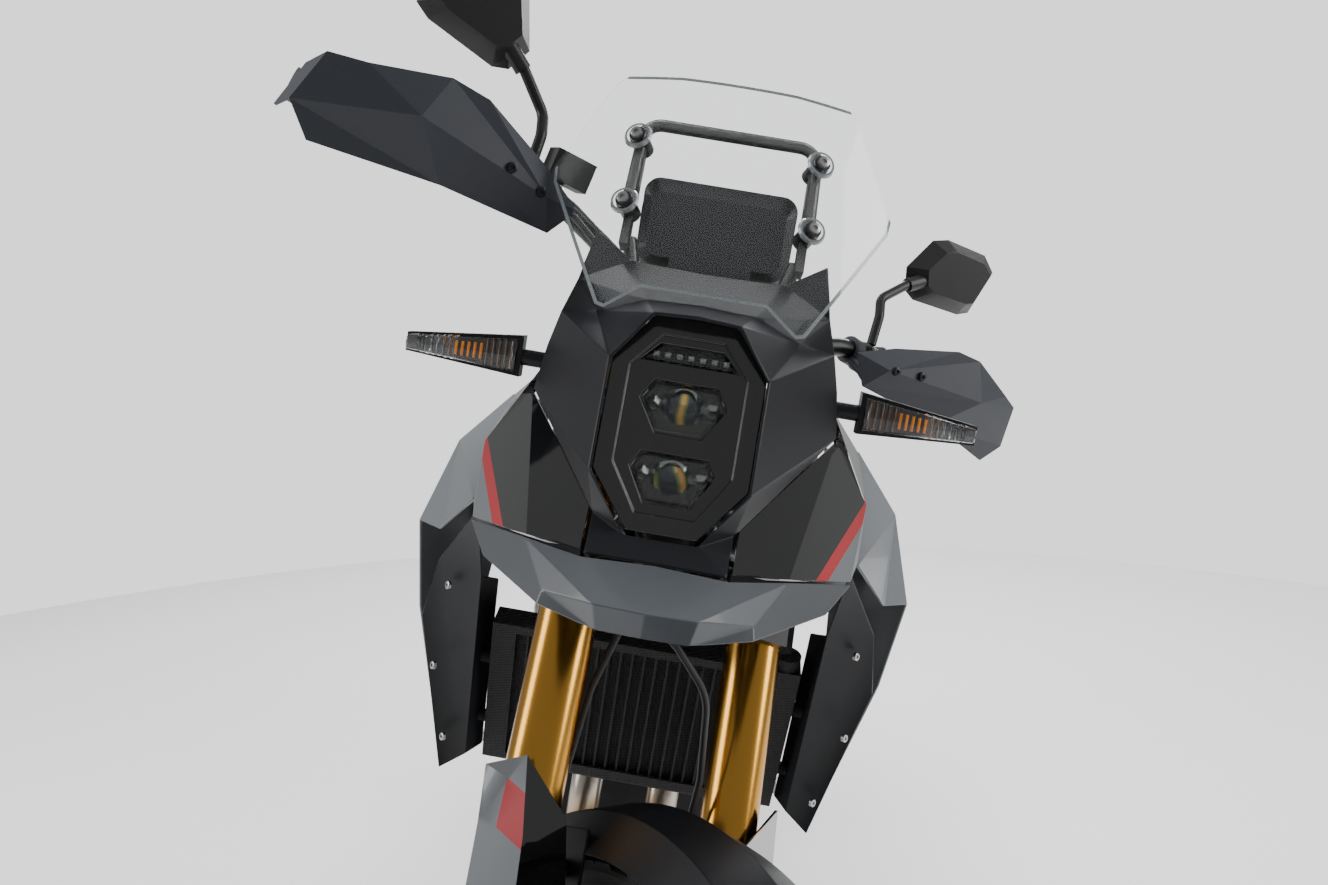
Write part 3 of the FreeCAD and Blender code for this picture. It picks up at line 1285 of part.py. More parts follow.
def rear_hugger():
    """Mudguard hugging the rear tyre, with the chain guard in one moulding."""
    wires = []
    outer = REAR_TYRE_R + 26
    inner = REAR_TYRE_R + 22
    ring = spun([(-78, inner - 22), (-74, inner - 22), (-50, inner), (50, inner), (74, inner - 22), (78, inner - 22), (52, outer), (-52, outer)], REAR_AXLE)
    wedge = prism([REAR_AXLE + V(-120, 0, 0), REAR_AXLE + V(-120, -520, 180), REAR_AXLE + V(-120, -520, 560), REAR_AXLE + V(-120, -60, 560)], V(240, 0, 0))
    guard = ring.common(wedge)
    seat = PIVOT_Z + 22 + SEAM
    tongue = side_plate([(304, seat), (304, seat + 4), (352, seat + 4), (474, 452), (474, 446), (352, seat)], 30, 62)
    return guard.multiFuse([tongue, mirrored(tongue)])


def caliper(disc_centre, outward, disc_r, half_length):
    """Caliper over a disc's edge: two cheeks, a bridge and ribs, slotted for the disc."""
    along = outward.cross(ACROSS).normalize()
    low = disc_r - 52
    high = disc_r + 14
    cheek = CALIPER_HALF

    def at(radius, along_by, x):
        return disc_centre + outward * radius + along * along_by + ACROSS * x

    corners = [(low, -half_length + 10), (low, half_length - 10), (high - 16, half_length), (high, half_length - 14),
               (high, 14 - half_length), (high - 16, -half_length)]
    body = prism([at(r, a, -cheek) for r, a in corners], ACROSS * (2 * cheek))
    gap = [(0, -disc_r), (0, disc_r), (disc_r + 4, disc_r), (disc_r + 4, -disc_r)]
    slot = prism([at(r, a, -PAD_GAP) for r, a in gap], ACROSS * (2 * PAD_GAP))
    ribs = [rod(at(disc_r - 20, a, -cheek - 5), at(disc_r - 20, a, cheek + 5), 15) for a in (-20, 20)]
    return body.multiFuse(ribs).cut(slot)


CALIPER_HALF = 31.0
CALIPER_RISE = 32.0
PAD_GAP = 5.0


def rear_caliper():
    """Rear caliper on a carrier plate held by the axle."""
    outward = V(0, -cos_deg(58), sin_deg(58))
    centre = REAR_AXLE - ACROSS * REAR_DISC_X
    body = caliper(centre, outward, REAR_DISC_R, 38).common(block(-105, -52, 600, 900, 0, 600))
    inner = -ARM_X + SEAM
    plate = side_plate([(WHEELBASE / 2 - 18, REAR_TYRE_R - 18), (WHEELBASE / 2 + 18, REAR_TYRE_R - 18), (WHEELBASE / 2 + 18, REAR_TYRE_R + 20),
                        (WHEELBASE / 2 - 40, REAR_TYRE_R + 120), (WHEELBASE / 2 - 84, REAR_TYRE_R + 104)], inner, inner + 7)
    body = fused(body, plate)
    return body.cut(rod(REAR_AXLE - ACROSS * 200, REAR_AXLE + ACROSS * 200, REAR_AXLE_R + BEAD_FIT))


# Front suspension and steering

def fork_tubes():
    left = rod(fork_point(FORK_X, FORK_OUTER_END, FORK_AHEAD), fork_point(FORK_X, FORK_TOP, FORK_AHEAD), FORK_OUTER_R)
    return pair(left)


def fork_legs():
    """Chromed inner tubes in cast axle lugs that reach forward to the axle."""
    low = AXLE_ALONG - 26
    tube = rod(fork_point(FORK_X, low, FORK_AHEAD), fork_point(FORK_X, FORK_OUTER_END - 0.3, FORK_AHEAD), FORK_INNER_R)
    lug = rod(fork_point(FORK_X, low - 6, FORK_AHEAD), fork_point(FORK_X, low + 84, FORK_AHEAD), 28)
    eye_at = V(FORK_X, FRONT_AXLE.y, FRONT_AXLE.z)
    eye = rod(eye_at - ACROSS * 24, eye_at + ACROSS * 22, 24)
    inner = FRONT_DISC_X + CALIPER_HALF + 5 + SEAM
    ears = []
    for along in (AXLE_ALONG + 46, AXLE_ALONG + 94):
        ears.append(fork_plate([(inner, 20), (inner + 12, 20), (inner + 12, -52), (inner, -52)], along - 9, along + 9))
    left = tube.multiFuse([lug, eye] + ears)
    left = left.cut(rod(eye_at - ACROSS * 60, eye_at + ACROSS * 60, FRONT_AXLE_R + BEAD_FIT))
    return pair(left)


def front_axle():
    """Hollow front axle; its bore takes a lifting pin."""
    half = FORK_X + 26
    shaft = rod(FRONT_AXLE - ACROSS * half, FRONT_AXLE + ACROSS * half, FRONT_AXLE_R)
    return shaft.cut(rod(FRONT_AXLE - ACROSS * (half + 5), FRONT_AXLE + ACROSS * (half + 5), FRONT_AXLE_BORE))


def clamp_outline(reach):
    half = [(30, -34), (60, -20), (FORK_X - 12, FORK_AHEAD - 36), (FORK_X + 14, FORK_AHEAD - 36), (FORK_X + 36, FORK_AHEAD - 14),
            (FORK_X + 36, FORK_AHEAD + 18), (FORK_X + 14, FORK_AHEAD + 36), (70, FORK_AHEAD + 34), (40, 16 + reach)]
    return half + [(-x, ahead) for x, ahead in reversed(half)]


def triple_clamps():
    """Upper and lower fork clamps joined by the steering stem."""
    lower = fork_plate(clamp_outline(8), LOWER_CLAMP - LOWER_CLAMP_THICK / 2, LOWER_CLAMP + LOWER_CLAMP_THICK / 2)
    upper = fork_plate(clamp_outline(0), UPPER_CLAMP - UPPER_CLAMP_THICK / 2, UPPER_CLAMP + UPPER_CLAMP_THICK / 2)
    for side in (-1, 1):
        room = rod(fork_point(side * FORK_X, 600, FORK_AHEAD), fork_point(side * FORK_X, 1300, FORK_AHEAD), FORK_OUTER_R + SEAM)
        lower = lower.cut(room)
        upper = upper.cut(room)
    stem = rod(fork_point(0, LOWER_CLAMP - 10, 0), fork_point(0, UPPER_CLAMP + 20, 0), STEM_R)
    nut = rod(fork_point(0, UPPER_CLAMP + 10, 0), fork_point(0, UPPER_CLAMP + 24, 0), 26)
    risers = []
    for side in (-1, 1):
        top = V(side * 46, BAR_Y, BAR_Z)
        foot = fork_point(side * 46, UPPER_CLAMP + 8, -6)
        risers.append(rod(foot, top, 19))
        risers.append(rod(top - ACROSS * 15, top + ACROSS * 15, 25))
    body = lower.multiFuse([upper, stem, nut] + risers)
    return body.cut(rod(V(-90, BAR_Y, BAR_Z), V(90, BAR_Y, BAR_Z), BAR_R + SEAM))


BAR = [(0, BAR_Y, BAR_Z), (78, BAR_Y, BAR_Z), (196, BAR_Y + 16, BAR_Z + 44), (BAR_END_X, BAR_END_Y, BAR_END_Z)]


def bar_point(x):
    """Point on the straight outer stretch of the left handlebar."""
    a, b = V(*BAR[2]), V(*BAR[3])
    return a + (b - a) * ((x - a.x) / (b.x - a.x))


def handlebar():
    left = [V(*p) for p in BAR]
    right = [V(-p.x, p.y, p.z) for p in reversed(left[1:])]
    return pipe(right + left[1:], BAR_R - 2.9, 60).fuse(rod(V(-70, BAR_Y, BAR_Z), V(70, BAR_Y, BAR_Z), BAR_R))


def grips():
    """Rubber grips with their end flanges."""
    sleeve = rod(bar_point(296), bar_point(424), GRIP_R).cut(rod(bar_point(290), bar_point(430), BAR_R - 2.9 + SEAM))
    flange = rod(bar_point(292), bar_point(297), 23).cut(rod(bar_point(285), bar_point(300), BAR_R - 2.9 + SEAM))
    return pair(fused(sleeve, flange))


def master_cylinder():
    """Ends of the front brake's master cylinder, drawn on the left like the other controls."""
    return bar_point(226) + V(0, -26, 0), bar_point(252) + V(0, -30, 4)


def bar_controls():
    """Switch pods, lever perches, levers, and the brake fluid reservoir on the right."""
    shapes = []
    for side in (1, -1):
        pod_in, pod_out = bar_point(258), bar_point(288)
        pod = rod(pod_in, pod_out, 24)
        perch = rod(bar_point(228), bar_point(250), 19)
        arm = prism([bar_point(230) + V(0, -10, -8), bar_point(250) + V(0, -10, -8), bar_point(262) + V(0, -42, -8), bar_point(242) + V(0, -40, -8)], V(0, 0, 16))
        lever = pipe([bar_point(250) + V(0, -36, 0), bar_point(300) + V(0, -52, -4), bar_point(425) + V(0, -48, -10)], 6, 60)
        group = pod.multiFuse([perch, arm, lever])
        if side == 1:
            group = group.fuse(rod(bar_point(250) + V(0, -32, 2), bar_point(228) + V(0, -20, 8), 7))
        else:
            inner, outer = master_cylinder()
            group = group.multiFuse([rod(outer, inner, 10), rod(inner + V(6, 0, 0), inner + V(6, 0, 24), 5)])
            group = group.fuse(block(190, 234, -336, -306, 1160, 1190))
        room = rod(bar_point(200), bar_point(436), BAR_R - 2.9 + SEAM)
        group = group.cut(room)
        shapes.append(group if side == 1 else mirrored(group))
    return Part.makeCompound(shapes)


def handguards():
    """Moulded hand guards, hooked round to the bar ends."""
    corners = {
        "in_low": V(214, -344, 1108), "in": V(191.5, -338, 1142), "top_in": V(238, -340, 1166),
        "top": V(318, -352, 1196), "top_mid": V(356, -350, 1198), "top_out": V(428, -340, 1176),
        "out": V(462, -325, 1170), "out_low": V(476, -318, 1118), "low_out": V(450, -322, 1090),
        "low": V(330, -352, 1104), "ridge_in": V(232, -356, 1138), "ridge": V(372, -366, 1152),
        "end": V(470, -255, 1160), "end_low": V(482, -250, 1112),
    }
    faces = [
        ("in_low", "low", "ridge", "ridge_in"),
        ("in", "in_low", "ridge_in"),
        ("in", "ridge_in", "top_in"),
        ("ridge_in", "ridge", "top_mid", "top", "top_in"),
        ("ridge", "top_out", "top_mid"),
        ("low", "low_out", "out_low", "ridge"),
        ("ridge", "out_low", "out", "top_out"),
        ("out_low", "end_low", "end", "out"),
    ]
    shell = panel(corners, faces, WALL)
    end = bar_point(BAR_END_X)
    tip = end + V(34, 0, 2)
    weight = rod(end + V(3.6, 1, 0), tip, 17)
    clamp_at = bar_point(210)
    line = (bar_point(300) - bar_point(200)).normalize()
    clamp = ring_about(clamp_at, line, 17, BAR_R - 2.9 + SEAM, 14)
    inner = rod(clamp_at + V(0, -11, -11), V(222, -343, 1118), 6)
    return pair(shell.multiFuse([weight, clamp, inner]))


def mirrors():
    """Mirror heads on bent stalks."""
    stalk = pipe([V(240, -289, 1162.4), V(240, -280, 1200), V(242, -264, 1222), V(284, -254, 1262)], 6, 20)
    head_front = [(275, 1277), (296, 1323), (318, 1334), (383, 1341), (407, 1327), (397, 1264), (381, 1255), (305, 1244), (288, 1250)]
    back = Part.makePolygon([V(x, -240, z) for x, z in head_front] + [V(275, -240, 1277)])
    centre = (341, 1295)
    small = [(centre[0] + (x - centre[0]) * 0.72, centre[1] + (z - centre[1]) * 0.66) for x, z in head_front]
    front = Part.makePolygon([V(x, -262, z) for x, z in small] + [V(small[0][0], -262, small[0][1])])
    shell = Part.makeLoft([back, front], True, True)
    neck = rod(V(277, -255, 1254), V(314, -249, 1279), 9)
    return pair(stalk.fuse(neck).fuse(shell))


def front_mudguard():
    """Mudguard close over the front tyre, carried between the fork legs."""
    outer = FRONT_TYRE_R + 24
    inner = FRONT_TYRE_R + 21
    half = FRONT_TYRE_HALF + 16
    arc_out = [V(-half, 0, outer - 52), V(-half + 14, 0, outer - 14), V(0, 0, outer), V(half - 14, 0, outer - 14), V(half, 0, outer - 52)]
    arc_in = [V(half - 3, 0, inner - 50), V(half - 17, 0, inner - 14), V(0, 0, inner), V(-half + 17, 0, inner - 14), V(-half + 3, 0, inner - 50)]
    corners = [FRONT_AXLE + p for p in arc_out + arc_in]
    ring = Part.Face(Part.makePolygon(corners + corners[:1])).revolve(FRONT_AXLE, ACROSS, 360)
    wedge = prism([FRONT_AXLE + V(-90, y, z) for y, z in ((0, 0), (-560, 230), (-560, 560), (430, 560), (430, 150))], V(180, 0, 0))
    guard = ring.common(wedge)
    brace = fork_plate([(half - 3, FORK_AHEAD - 26), (half, FORK_AHEAD - 26), (half, FORK_AHEAD + 30), (half - 3, FORK_AHEAD + 30)], 600, 700)
    feet = [brace]
    for along in (625, 665):
        feet.append(rod(fork_point(half - 2, along, FORK_AHEAD), fork_point(FORK_X - FORK_INNER_R - SEAM, along, FORK_AHEAD), 8))
    side = feet[0].multiFuse(feet[1:])
    return guard.multiFuse([side, mirrored(side)])


def fork_guards():
    """Moulded shields in front of the sliders, strapped to them; places: x, along, ahead."""
    places = {
        "top_out": (158, 736, 38), "top": (136, 748, 68), "top_in": (92, 704, 76),
        "brow_out": (152, 690, 34), "brow": (130, 684, 78), "brow_in": (78, 640, 74),
        "mid_out": (146, 590, 28), "mid": (122, 590, 76), "mid_in": (80, 590, 70),
        "foot_out": (148, 444, 26), "foot": (122, 432, 74), "foot_in": (86, 444, 66),
    }
    corners = {name: fork_point(*place) for name, place in places.items()}
    faces = [
        ("brow_out", "top_out", "top", "brow"),
        ("brow", "top", "top_in", "brow_in"),
        ("mid_out", "brow_out", "brow", "mid"),
        ("mid", "brow", "brow_in", "mid_in"),
        ("foot_out", "mid_out", "mid", "foot"),
        ("foot", "mid", "mid_in", "foot_in"),
    ]
    shell = panel(corners, faces, WALL)
    strap = ring_about(fork_point(FORK_X, 500, FORK_AHEAD), STEER_AXIS, 37, FORK_INNER_R + 0.3, 16)
    web = fork_plate([(96, 62), (118, 62), (118, 71), (96, 71)], 492, 508)
    high = ring_about(fork_point(FORK_X, 645, FORK_AHEAD), STEER_AXIS, 29, FORK_INNER_R + 0.3, 12)
    high_web = fork_plate([(100, 56), (122, 56), (122, 75), (100, 72)], 639, 651)
    return pair(shell.multiFuse([strap, web, high, high_web]))


def front_calipers():
    """Calipers behind the fork legs, straddling the discs."""
    outward = STEER_AXIS * sin_deg(CALIPER_RISE) - AHEAD * cos_deg(CALIPER_RISE)
    return pair(caliper(FRONT_AXLE + ACROSS * FRONT_DISC_X, outward, FRONT_DISC_R, 46))


BRAKE_HOSE_R = 3.5


def brake_lines():
    """Front brake hoses: down from the master cylinder to a block under the lower clamp,
    then one loop to each caliper; places: x, along, ahead."""
    under = LOWER_CLAMP - LOWER_CLAMP_THICK / 2 - SEAM
    joint = fork_plate([(-66, 52), (-48, 52), (-48, 72), (-66, 72)], under - 16, under)
    left = [(-54, 890, 64), (-30, 872, 92), (24, 832, 84), (58, 762, 44), (72, 700, 12), (76, 600, 0), (80, 540, -20), (80, 478, -32)]
    right = [(-60, 888, 58), (-70, 820, 34), (-74, 700, 12), (-76, 600, 0), (-80, 540, -20), (-80, 478, -32)]
    upper = [(-57, under - 6, 66), (-57, 950, 74), (-68, 990, 36), (-70, 1080, 36), (-62, 1120, 78), (-64, 1162, 78), (-122, 1208, 54)]
    master, outer = [V(-end.x, end.y, end.z) for end in master_cylinder()]
    inward = (master - outer).normalize()
    routes = [[fork_point(*place) for place in route] for route in (left, right, upper)]
    routes[2] += [master + inward * 34, master + inward * SEAM]
    hoses = [pipe(route, BRAKE_HOSE_R, 60) for route in routes]
    return joint.multiFuse(hoses)


STAND_PIVOT = V(154, 118, 322)
STAND_FOOT_X = 268.0
STAND_FOOT_Y = 44.0
STAND_R = 12.0
STAND_PIN_R = 6.0
STAND_TILT = 21.0
STAND_AXIS = V(cos_deg(STAND_TILT), 0, sin_deg(STAND_TILT))


def side_stand(place):
    """Leg and foot plate, drawn in place on the floor from the leaning frame's pivot."""
    pivot = place(STAND_PIVOT)
    foot = V(STAND_FOOT_X, STAND_FOOT_Y, 0)
    leg = rod(pivot, foot + V(-3, 2, 12), STAND_R)
    pad = Part.makeCylinder(30, 7, foot, UP)
    collar = rod(foot + V(0, 0, 6.2), foot + V(-6, 4, 26), 17, 13)
    side = (place(STAND_PIVOT + STAND_AXIS) - pivot).normalize()
    knuckle = rod(pivot - side * 9, pivot + side * 9, 18)
    stand = leg.multiFuse([pad, collar, knuckle])
    return stand.cut(rod(pivot - side * 40, pivot + side * 40, STAND_PIN_R + SEAM))


def stand_bracket():
    bracket = side_plate([(92, 300), (150, 296), (196, 330), (200, 380), (100, 360)], 122, 138)
    pin = rod(STAND_PIVOT - STAND_AXIS * 22, STAND_PIVOT + STAND_AXIS * 14, STAND_PIN_R)
    return fused(bracket, pin)


# Placing: steer, settle on both tyres, lean

def settle():
    """Pitch and drop that put both crowned tyres on the floor at the lean angle."""
    def turn(pitch):
        return FreeCAD.Rotation(BACK, LEAN).multiply(FreeCAD.Rotation(ACROSS, pitch))

    steered = FreeCAD.Placement(V(0, 0, 0), FreeCAD.Rotation(STEER_AXIS, STEER), STEER_FOOT)
    front_centre = steered.multVec(FRONT_AXLE)
    front_axis = steered.Rotation.multVec(ACROSS)

    def gap(rotation, centre, axis, radius, crown):
        tilt = rotation.multVec(axis).z
        return rotation.multVec(centre).z - (radius - crown) * math.sqrt(1 - tilt * tilt) - crown

    low, high = -5.0, 5.0
    for _ in range(60):
        middle = (low + high) / 2
        rotation = turn(middle)
        front = gap(rotation, front_centre, front_axis, FRONT_TYRE_R, FRONT_CROWN)
        rear = gap(rotation, REAR_AXLE, ACROSS, REAR_TYRE_R, REAR_CROWN)
        if front > rear:
            low = middle
        else:
            high = middle
    return rotation, -rear


ROTATION, DROP = settle()
LEANING = FreeCAD.Placement(V(-ORIGIN_X, -ORIGIN_Y, DROP), ROTATION)
STEERED = LEANING.multiply(FreeCAD.Placement(V(0, 0, 0), FreeCAD.Rotation(STEER_AXIS, STEER), STEER_FOOT))

CHASSIS = {
    "frame": frame,
    "subframe": subframe,
    "swingarm": swingarm,
    "chassis_axles": chassis_axles,
    "rear_shock": rear_shock,
    "crankcase": crankcase,
    "cylinders": cylinders,
    "engine_covers": engine_covers,
    "front_sprocket": front_sprocket,
    "skid_plate": skid_plate,
    "radiator": radiator,
    "coolant_hoses": coolant_hoses,
    "header_pipes": header_pipes,
    "silencer": silencer,
    "fuel_tank": fuel_tank,
    "rider_seat": rider_seat,
    "pillion_seat": pillion_seat,
    "tank_shrouds": tank_shrouds,
    "side_fairings": side_fairings,
    "radiator_covers": radiator_covers,
    "nose_cowl": nose_cowl,
    "headlamp": headlamp,
    "lamp_lenses": lamp_lenses,
    "beak": beak,
    "windscreen": windscreen,
    "cowl_stay": cowl_stay,
    "instrument": instrument,
    "indicator_bodies": indicator_bodies,
    "tail_panels": tail_panels,
    "tail_unit": tail_unit,
    "tail_lamp": tail_lamp,
    "luggage_rack": luggage_rack,
    "footpegs": footpegs,
    "foot_controls": foot_controls,
    "drive_chain": drive_chain,
    "rear_hugger": rear_hugger,
    "rear_caliper": rear_caliper,
}
STEERING = {
    "fork_tubes": fork_tubes,
    "fork_legs": fork_legs,
    "front_axle": front_axle,
    "triple_clamps": triple_clamps,
    "handlebar": handlebar,
    "grips": grips,
    "bar_controls": bar_controls,
    "handguards": handguards,
    "mirrors": mirrors,
    "front_mudguard": front_mudguard,
    "fork_guards": fork_guards,
    "front_calipers": front_calipers,
    "brake_lines": brake_lines,
}
FRONT_WHEEL = {"front_tyre": front_tyre, "front_rim": front_rim, "front_discs": front_discs}
REAR_WHEEL = {"rear_tyre": rear_tyre, "rear_rim": rear_rim, "rear_disc": rear_disc, "rear_sprocket": rear_sprocket}
CAP = {"fuel_cap": fuel_cap}


def placed(shape, placement):
    copy = shape.copy()
    copy.Placement = placement.multiply(copy.Placement)
    return copy


def build():
    os.makedirs("parts", exist_ok=True)
    groups = ((CHASSIS, LEANING), (CAP, LEANING), (REAR_WHEEL, LEANING), (STEERING, STEERED), (FRONT_WHEEL, STEERED))
    nodes = {}
    for makers, placement in groups:
        for name, make in makers.items():
            nodes[name] = placed(make(), placement)
    leaning_up = FreeCAD.Placement(V(0, 0, DROP), ROTATION)
    stand = side_stand(leaning_up.multVec)
    nodes["side_stand"] = placed(stand, FreeCAD.Placement(V(-ORIGIN_X, -ORIGIN_Y, 0), FreeCAD.Rotation()))
    for name, shape in nodes.items():
        shape.exportStep("parts/" + name + ".step")
    return nodes


NODES = build()
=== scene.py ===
from math import asin, atan2, cos, exp, pi, radians, sin, sqrt

import bmesh
import bpy
from mathutils import Matrix, Vector


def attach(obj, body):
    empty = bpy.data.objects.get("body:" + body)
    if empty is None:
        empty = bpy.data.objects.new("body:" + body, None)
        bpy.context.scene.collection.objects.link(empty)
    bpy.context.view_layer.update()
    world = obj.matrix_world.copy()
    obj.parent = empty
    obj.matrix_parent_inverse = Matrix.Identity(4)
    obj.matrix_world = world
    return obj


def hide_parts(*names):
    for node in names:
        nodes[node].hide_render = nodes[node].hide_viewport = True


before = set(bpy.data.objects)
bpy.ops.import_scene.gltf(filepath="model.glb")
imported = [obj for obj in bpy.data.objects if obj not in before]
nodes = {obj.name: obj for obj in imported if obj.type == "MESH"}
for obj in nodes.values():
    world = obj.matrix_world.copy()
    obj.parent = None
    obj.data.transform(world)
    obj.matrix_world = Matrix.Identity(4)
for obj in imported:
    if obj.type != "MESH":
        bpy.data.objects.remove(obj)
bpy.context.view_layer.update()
scene = bpy.context.scene


# Studio. A pale seamless floor in a white room, one broad soft light overhead and a
# long strip light on each side, whose reflections run along the gloss panels.

def material(name):
    """New material: its node tree and its Principled shader."""
    made = bpy.data.materials.new(name)
    made.use_nodes = True
    return made, made.node_tree, made.node_tree.nodes["Principled BSDF"]


floor_material, tree, shader = material("studio_floor")
shader.inputs["Roughness"].default_value = 0.5
speckle = tree.nodes.new("ShaderNodeTexNoise")
speckle.inputs["Scale"].default_value = 1.3
tones = tree.nodes.new("ShaderNodeValToRGB")
tones.color_ramp.elements[0].color = (0.80, 0.80, 0.80, 1)
tones.color_ramp.elements[1].color = (0.86, 0.86, 0.86, 1)
tree.links.new(speckle.outputs["Fac"], tones.inputs["Fac"])
tree.links.new(tones.outputs["Color"], shader.inputs["Base Color"])

FLOOR_RADIUS = 3.6
bm = bmesh.new()
bmesh.ops.create_circle(bm, cap_ends=True, segments=160, radius=FLOOR_RADIUS)
floor_mesh = bpy.data.meshes.new("studio_floor")
bm.to_mesh(floor_mesh)
bm.free()
floor = bpy.data.objects.new("studio_floor", floor_mesh)
scene.collection.objects.link(floor)
floor_mesh.materials.append(floor_material)

ROOM_LIGHT = 0.42
WALL_BRIGHTNESS = 1.7
world = bpy.data.worlds.new("studio")
scene.world = world
world.use_nodes = True
wall = world.node_tree.nodes["Background"]
wall.inputs["Color"].default_value = (0.90, 0.91, 0.91, 1)
rays = world.node_tree.nodes.new("ShaderNodeLightPath")
straight = world.node_tree.nodes.new("ShaderNodeMath")
straight.operation = "MAXIMUM"
bright = world.node_tree.nodes.new("ShaderNodeMapRange")
bright.inputs["To Min"].default_value = ROOM_LIGHT
bright.inputs["To Max"].default_value = WALL_BRIGHTNESS
world.node_tree.links.new(rays.outputs["Is Camera Ray"], straight.inputs[0])
world.node_tree.links.new(rays.outputs["Is Transmission Ray"], straight.inputs[1])
world.node_tree.links.new(straight.outputs[0], bright.inputs["Value"])
world.node_tree.links.new(bright.outputs["Result"], wall.inputs["Strength"])

SOFT_LIGHTS = [
    # name, place, size, watts, aim
    ("overhead", (0.0, 0.6, 4.6), (5.0, 3.0), 330, (0, 0.2, 0.4)),
    ("strip_left", (-3.9, -1.0, 2.3), (1.3, 3.2), 85, (0, 0, 0.8)),
    ("strip_right", (3.9, -1.0, 2.3), (1.3, 3.2), 100, (0, 0, 0.8)),
    ("behind", (0.6, 4.2, 3.2), (4.0, 1.5), 150, (0, 0, 0.6)),
]
for name, place, size, watts, aim in SOFT_LIGHTS:
    lamp = bpy.data.lights.new(name, "AREA")
    lamp.shape = "RECTANGLE"
    lamp.size, lamp.size_y = size
    lamp.energy = watts
    light = bpy.data.objects.new(name, lamp)
    light.location = place
    light.rotation_euler = (Vector(aim) - Vector(place)).to_track_quat("-Z", "Y").to_euler()
    light.visible_glossy = name != "overhead"
    scene.collection.objects.link(light)

FOCAL_LENGTH = 29.06
CAMERA_PLACE = (0.020, -1.577, 1.072)
SWING, DIP, ROLL = radians(-3.0), radians(6.3), radians(-1.0)
camera_lens = bpy.data.cameras.new("front_view")
camera_lens.sensor_width = 36
camera_lens.lens = FOCAL_LENGTH
camera = bpy.data.objects.new("front_view", camera_lens)
scene.collection.objects.link(camera)
forward = Vector((sin(SWING) * cos(DIP), cos(SWING) * cos(DIP), -sin(DIP)))
level = Vector((cos(SWING), -sin(SWING), 0))
upright = level.cross(forward)
right = level * cos(ROLL) + upright * sin(ROLL)
top = upright * cos(ROLL) - level * sin(ROLL)
camera.matrix_world = Matrix.Translation(CAMERA_PLACE) @ Matrix((right, top, -forward)).transposed().to_4x4()
scene.camera = camera


# Frame, subframe and stands. Welded steel tube, powder coated satin black, with the
# seat rails and the stay that carries the nose; the side stand's leg is forged.

def group_node(name, inputs, outputs):
    """Empty shader group with named sockets."""
    group = bpy.data.node_groups.new(name, "ShaderNodeTree")
    for socket, kind, value in inputs:
        made = group.interface.new_socket(socket, in_out="INPUT", socket_type=kind)
        if value is not None:
            made.default_value = value
    for socket, kind in outputs:
        group.interface.new_socket(socket, in_out="OUTPUT", socket_type=kind)
    return group, group.nodes.new("NodeGroupInput"), group.nodes.new("NodeGroupOutput")


handling, handling_in, handling_out = group_node(
    "handling_marks",
    [("Colour", "NodeSocketColor", None), ("Mottle", "NodeSocketFloat", 0.1),
     ("Roughness", "NodeSocketFloat", 0.5), ("Smudge", "NodeSocketFloat", 0.1),
     ("Dust", "NodeSocketFloat", 0.05)],
    [("Colour", "NodeSocketColor"), ("Roughness", "NodeSocketFloat")])
place = handling.nodes.new("ShaderNodeTexCoord")
patches = handling.nodes.new("ShaderNodeTexNoise")
patches.inputs["Scale"].default_value = 9
patches.inputs["Detail"].default_value = 6
fine = handling.nodes.new("ShaderNodeTexNoise")
fine.inputs["Scale"].default_value = 70
fine.inputs["Detail"].default_value = 4
shade = handling.nodes.new("ShaderNodeMath")
shade.operation = "MULTIPLY_ADD"
half = handling.nodes.new("ShaderNodeMath")
half.operation = "SUBTRACT"
half.inputs[1].default_value = 0.5
brighter = handling.nodes.new("ShaderNodeMix")
brighter.data_type = "RGBA"
brighter.blend_type = "MULTIPLY"
brighter.inputs["Factor"].default_value = 1
grey = handling.nodes.new("ShaderNodeCombineColor")
rougher = handling.nodes.new("ShaderNodeMath")
rougher.operation = "MULTIPLY_ADD"
up_facing = handling.nodes.new("ShaderNodeNewGeometry")
split = handling.nodes.new("ShaderNodeSeparateXYZ")
lying = handling.nodes.new("ShaderNodeMath")
lying.operation = "MULTIPLY"
lying.use_clamp = True
specks = handling.nodes.new("ShaderNodeMath")
specks.operation = "MULTIPLY"
dusty = handling.nodes.new("ShaderNodeMix")
dusty.data_type = "RGBA"
dusty.inputs["B"].default_value = (0.42, 0.41, 0.39, 1)
link = handling.links.new
link(place.outputs["Object"], patches.inputs["Vector"])
link(place.outputs["Object"], fine.inputs["Vector"])
link(patches.outputs["Fac"], half.inputs[0])
link(half.outputs[0], shade.inputs[0])
link(handling_in.outputs["Mottle"], shade.inputs[1])
shade.inputs[2].default_value = 1
for channel in ("Red", "Green", "Blue"):
    link(shade.outputs[0], grey.inputs[channel])
link(handling_in.outputs["Colour"], brighter.inputs["A"])
link(grey.outputs["Color"], brighter.inputs["B"])
link(up_facing.outputs["Normal"], split.inputs[0])
link(split.outputs["Z"], lying.inputs[0])
link(fine.outputs["Fac"], lying.inputs[1])
link(lying.outputs[0], specks.inputs[0])
link(handling_in.outputs["Dust"], specks.inputs[1])
link(specks.outputs[0], dusty.inputs["Factor"])
link(brighter.outputs["Result"], dusty.inputs["A"])
link(dusty.outputs["Result"], handling_out.inputs["Colour"])
link(half.outputs[0], rougher.inputs[0])
link(handling_in.outputs["Smudge"], rougher.inputs[1])
link(handling_in.outputs["Roughness"], rougher.inputs[2])
link(rougher.outputs[0], handling_out.inputs["Roughness"])

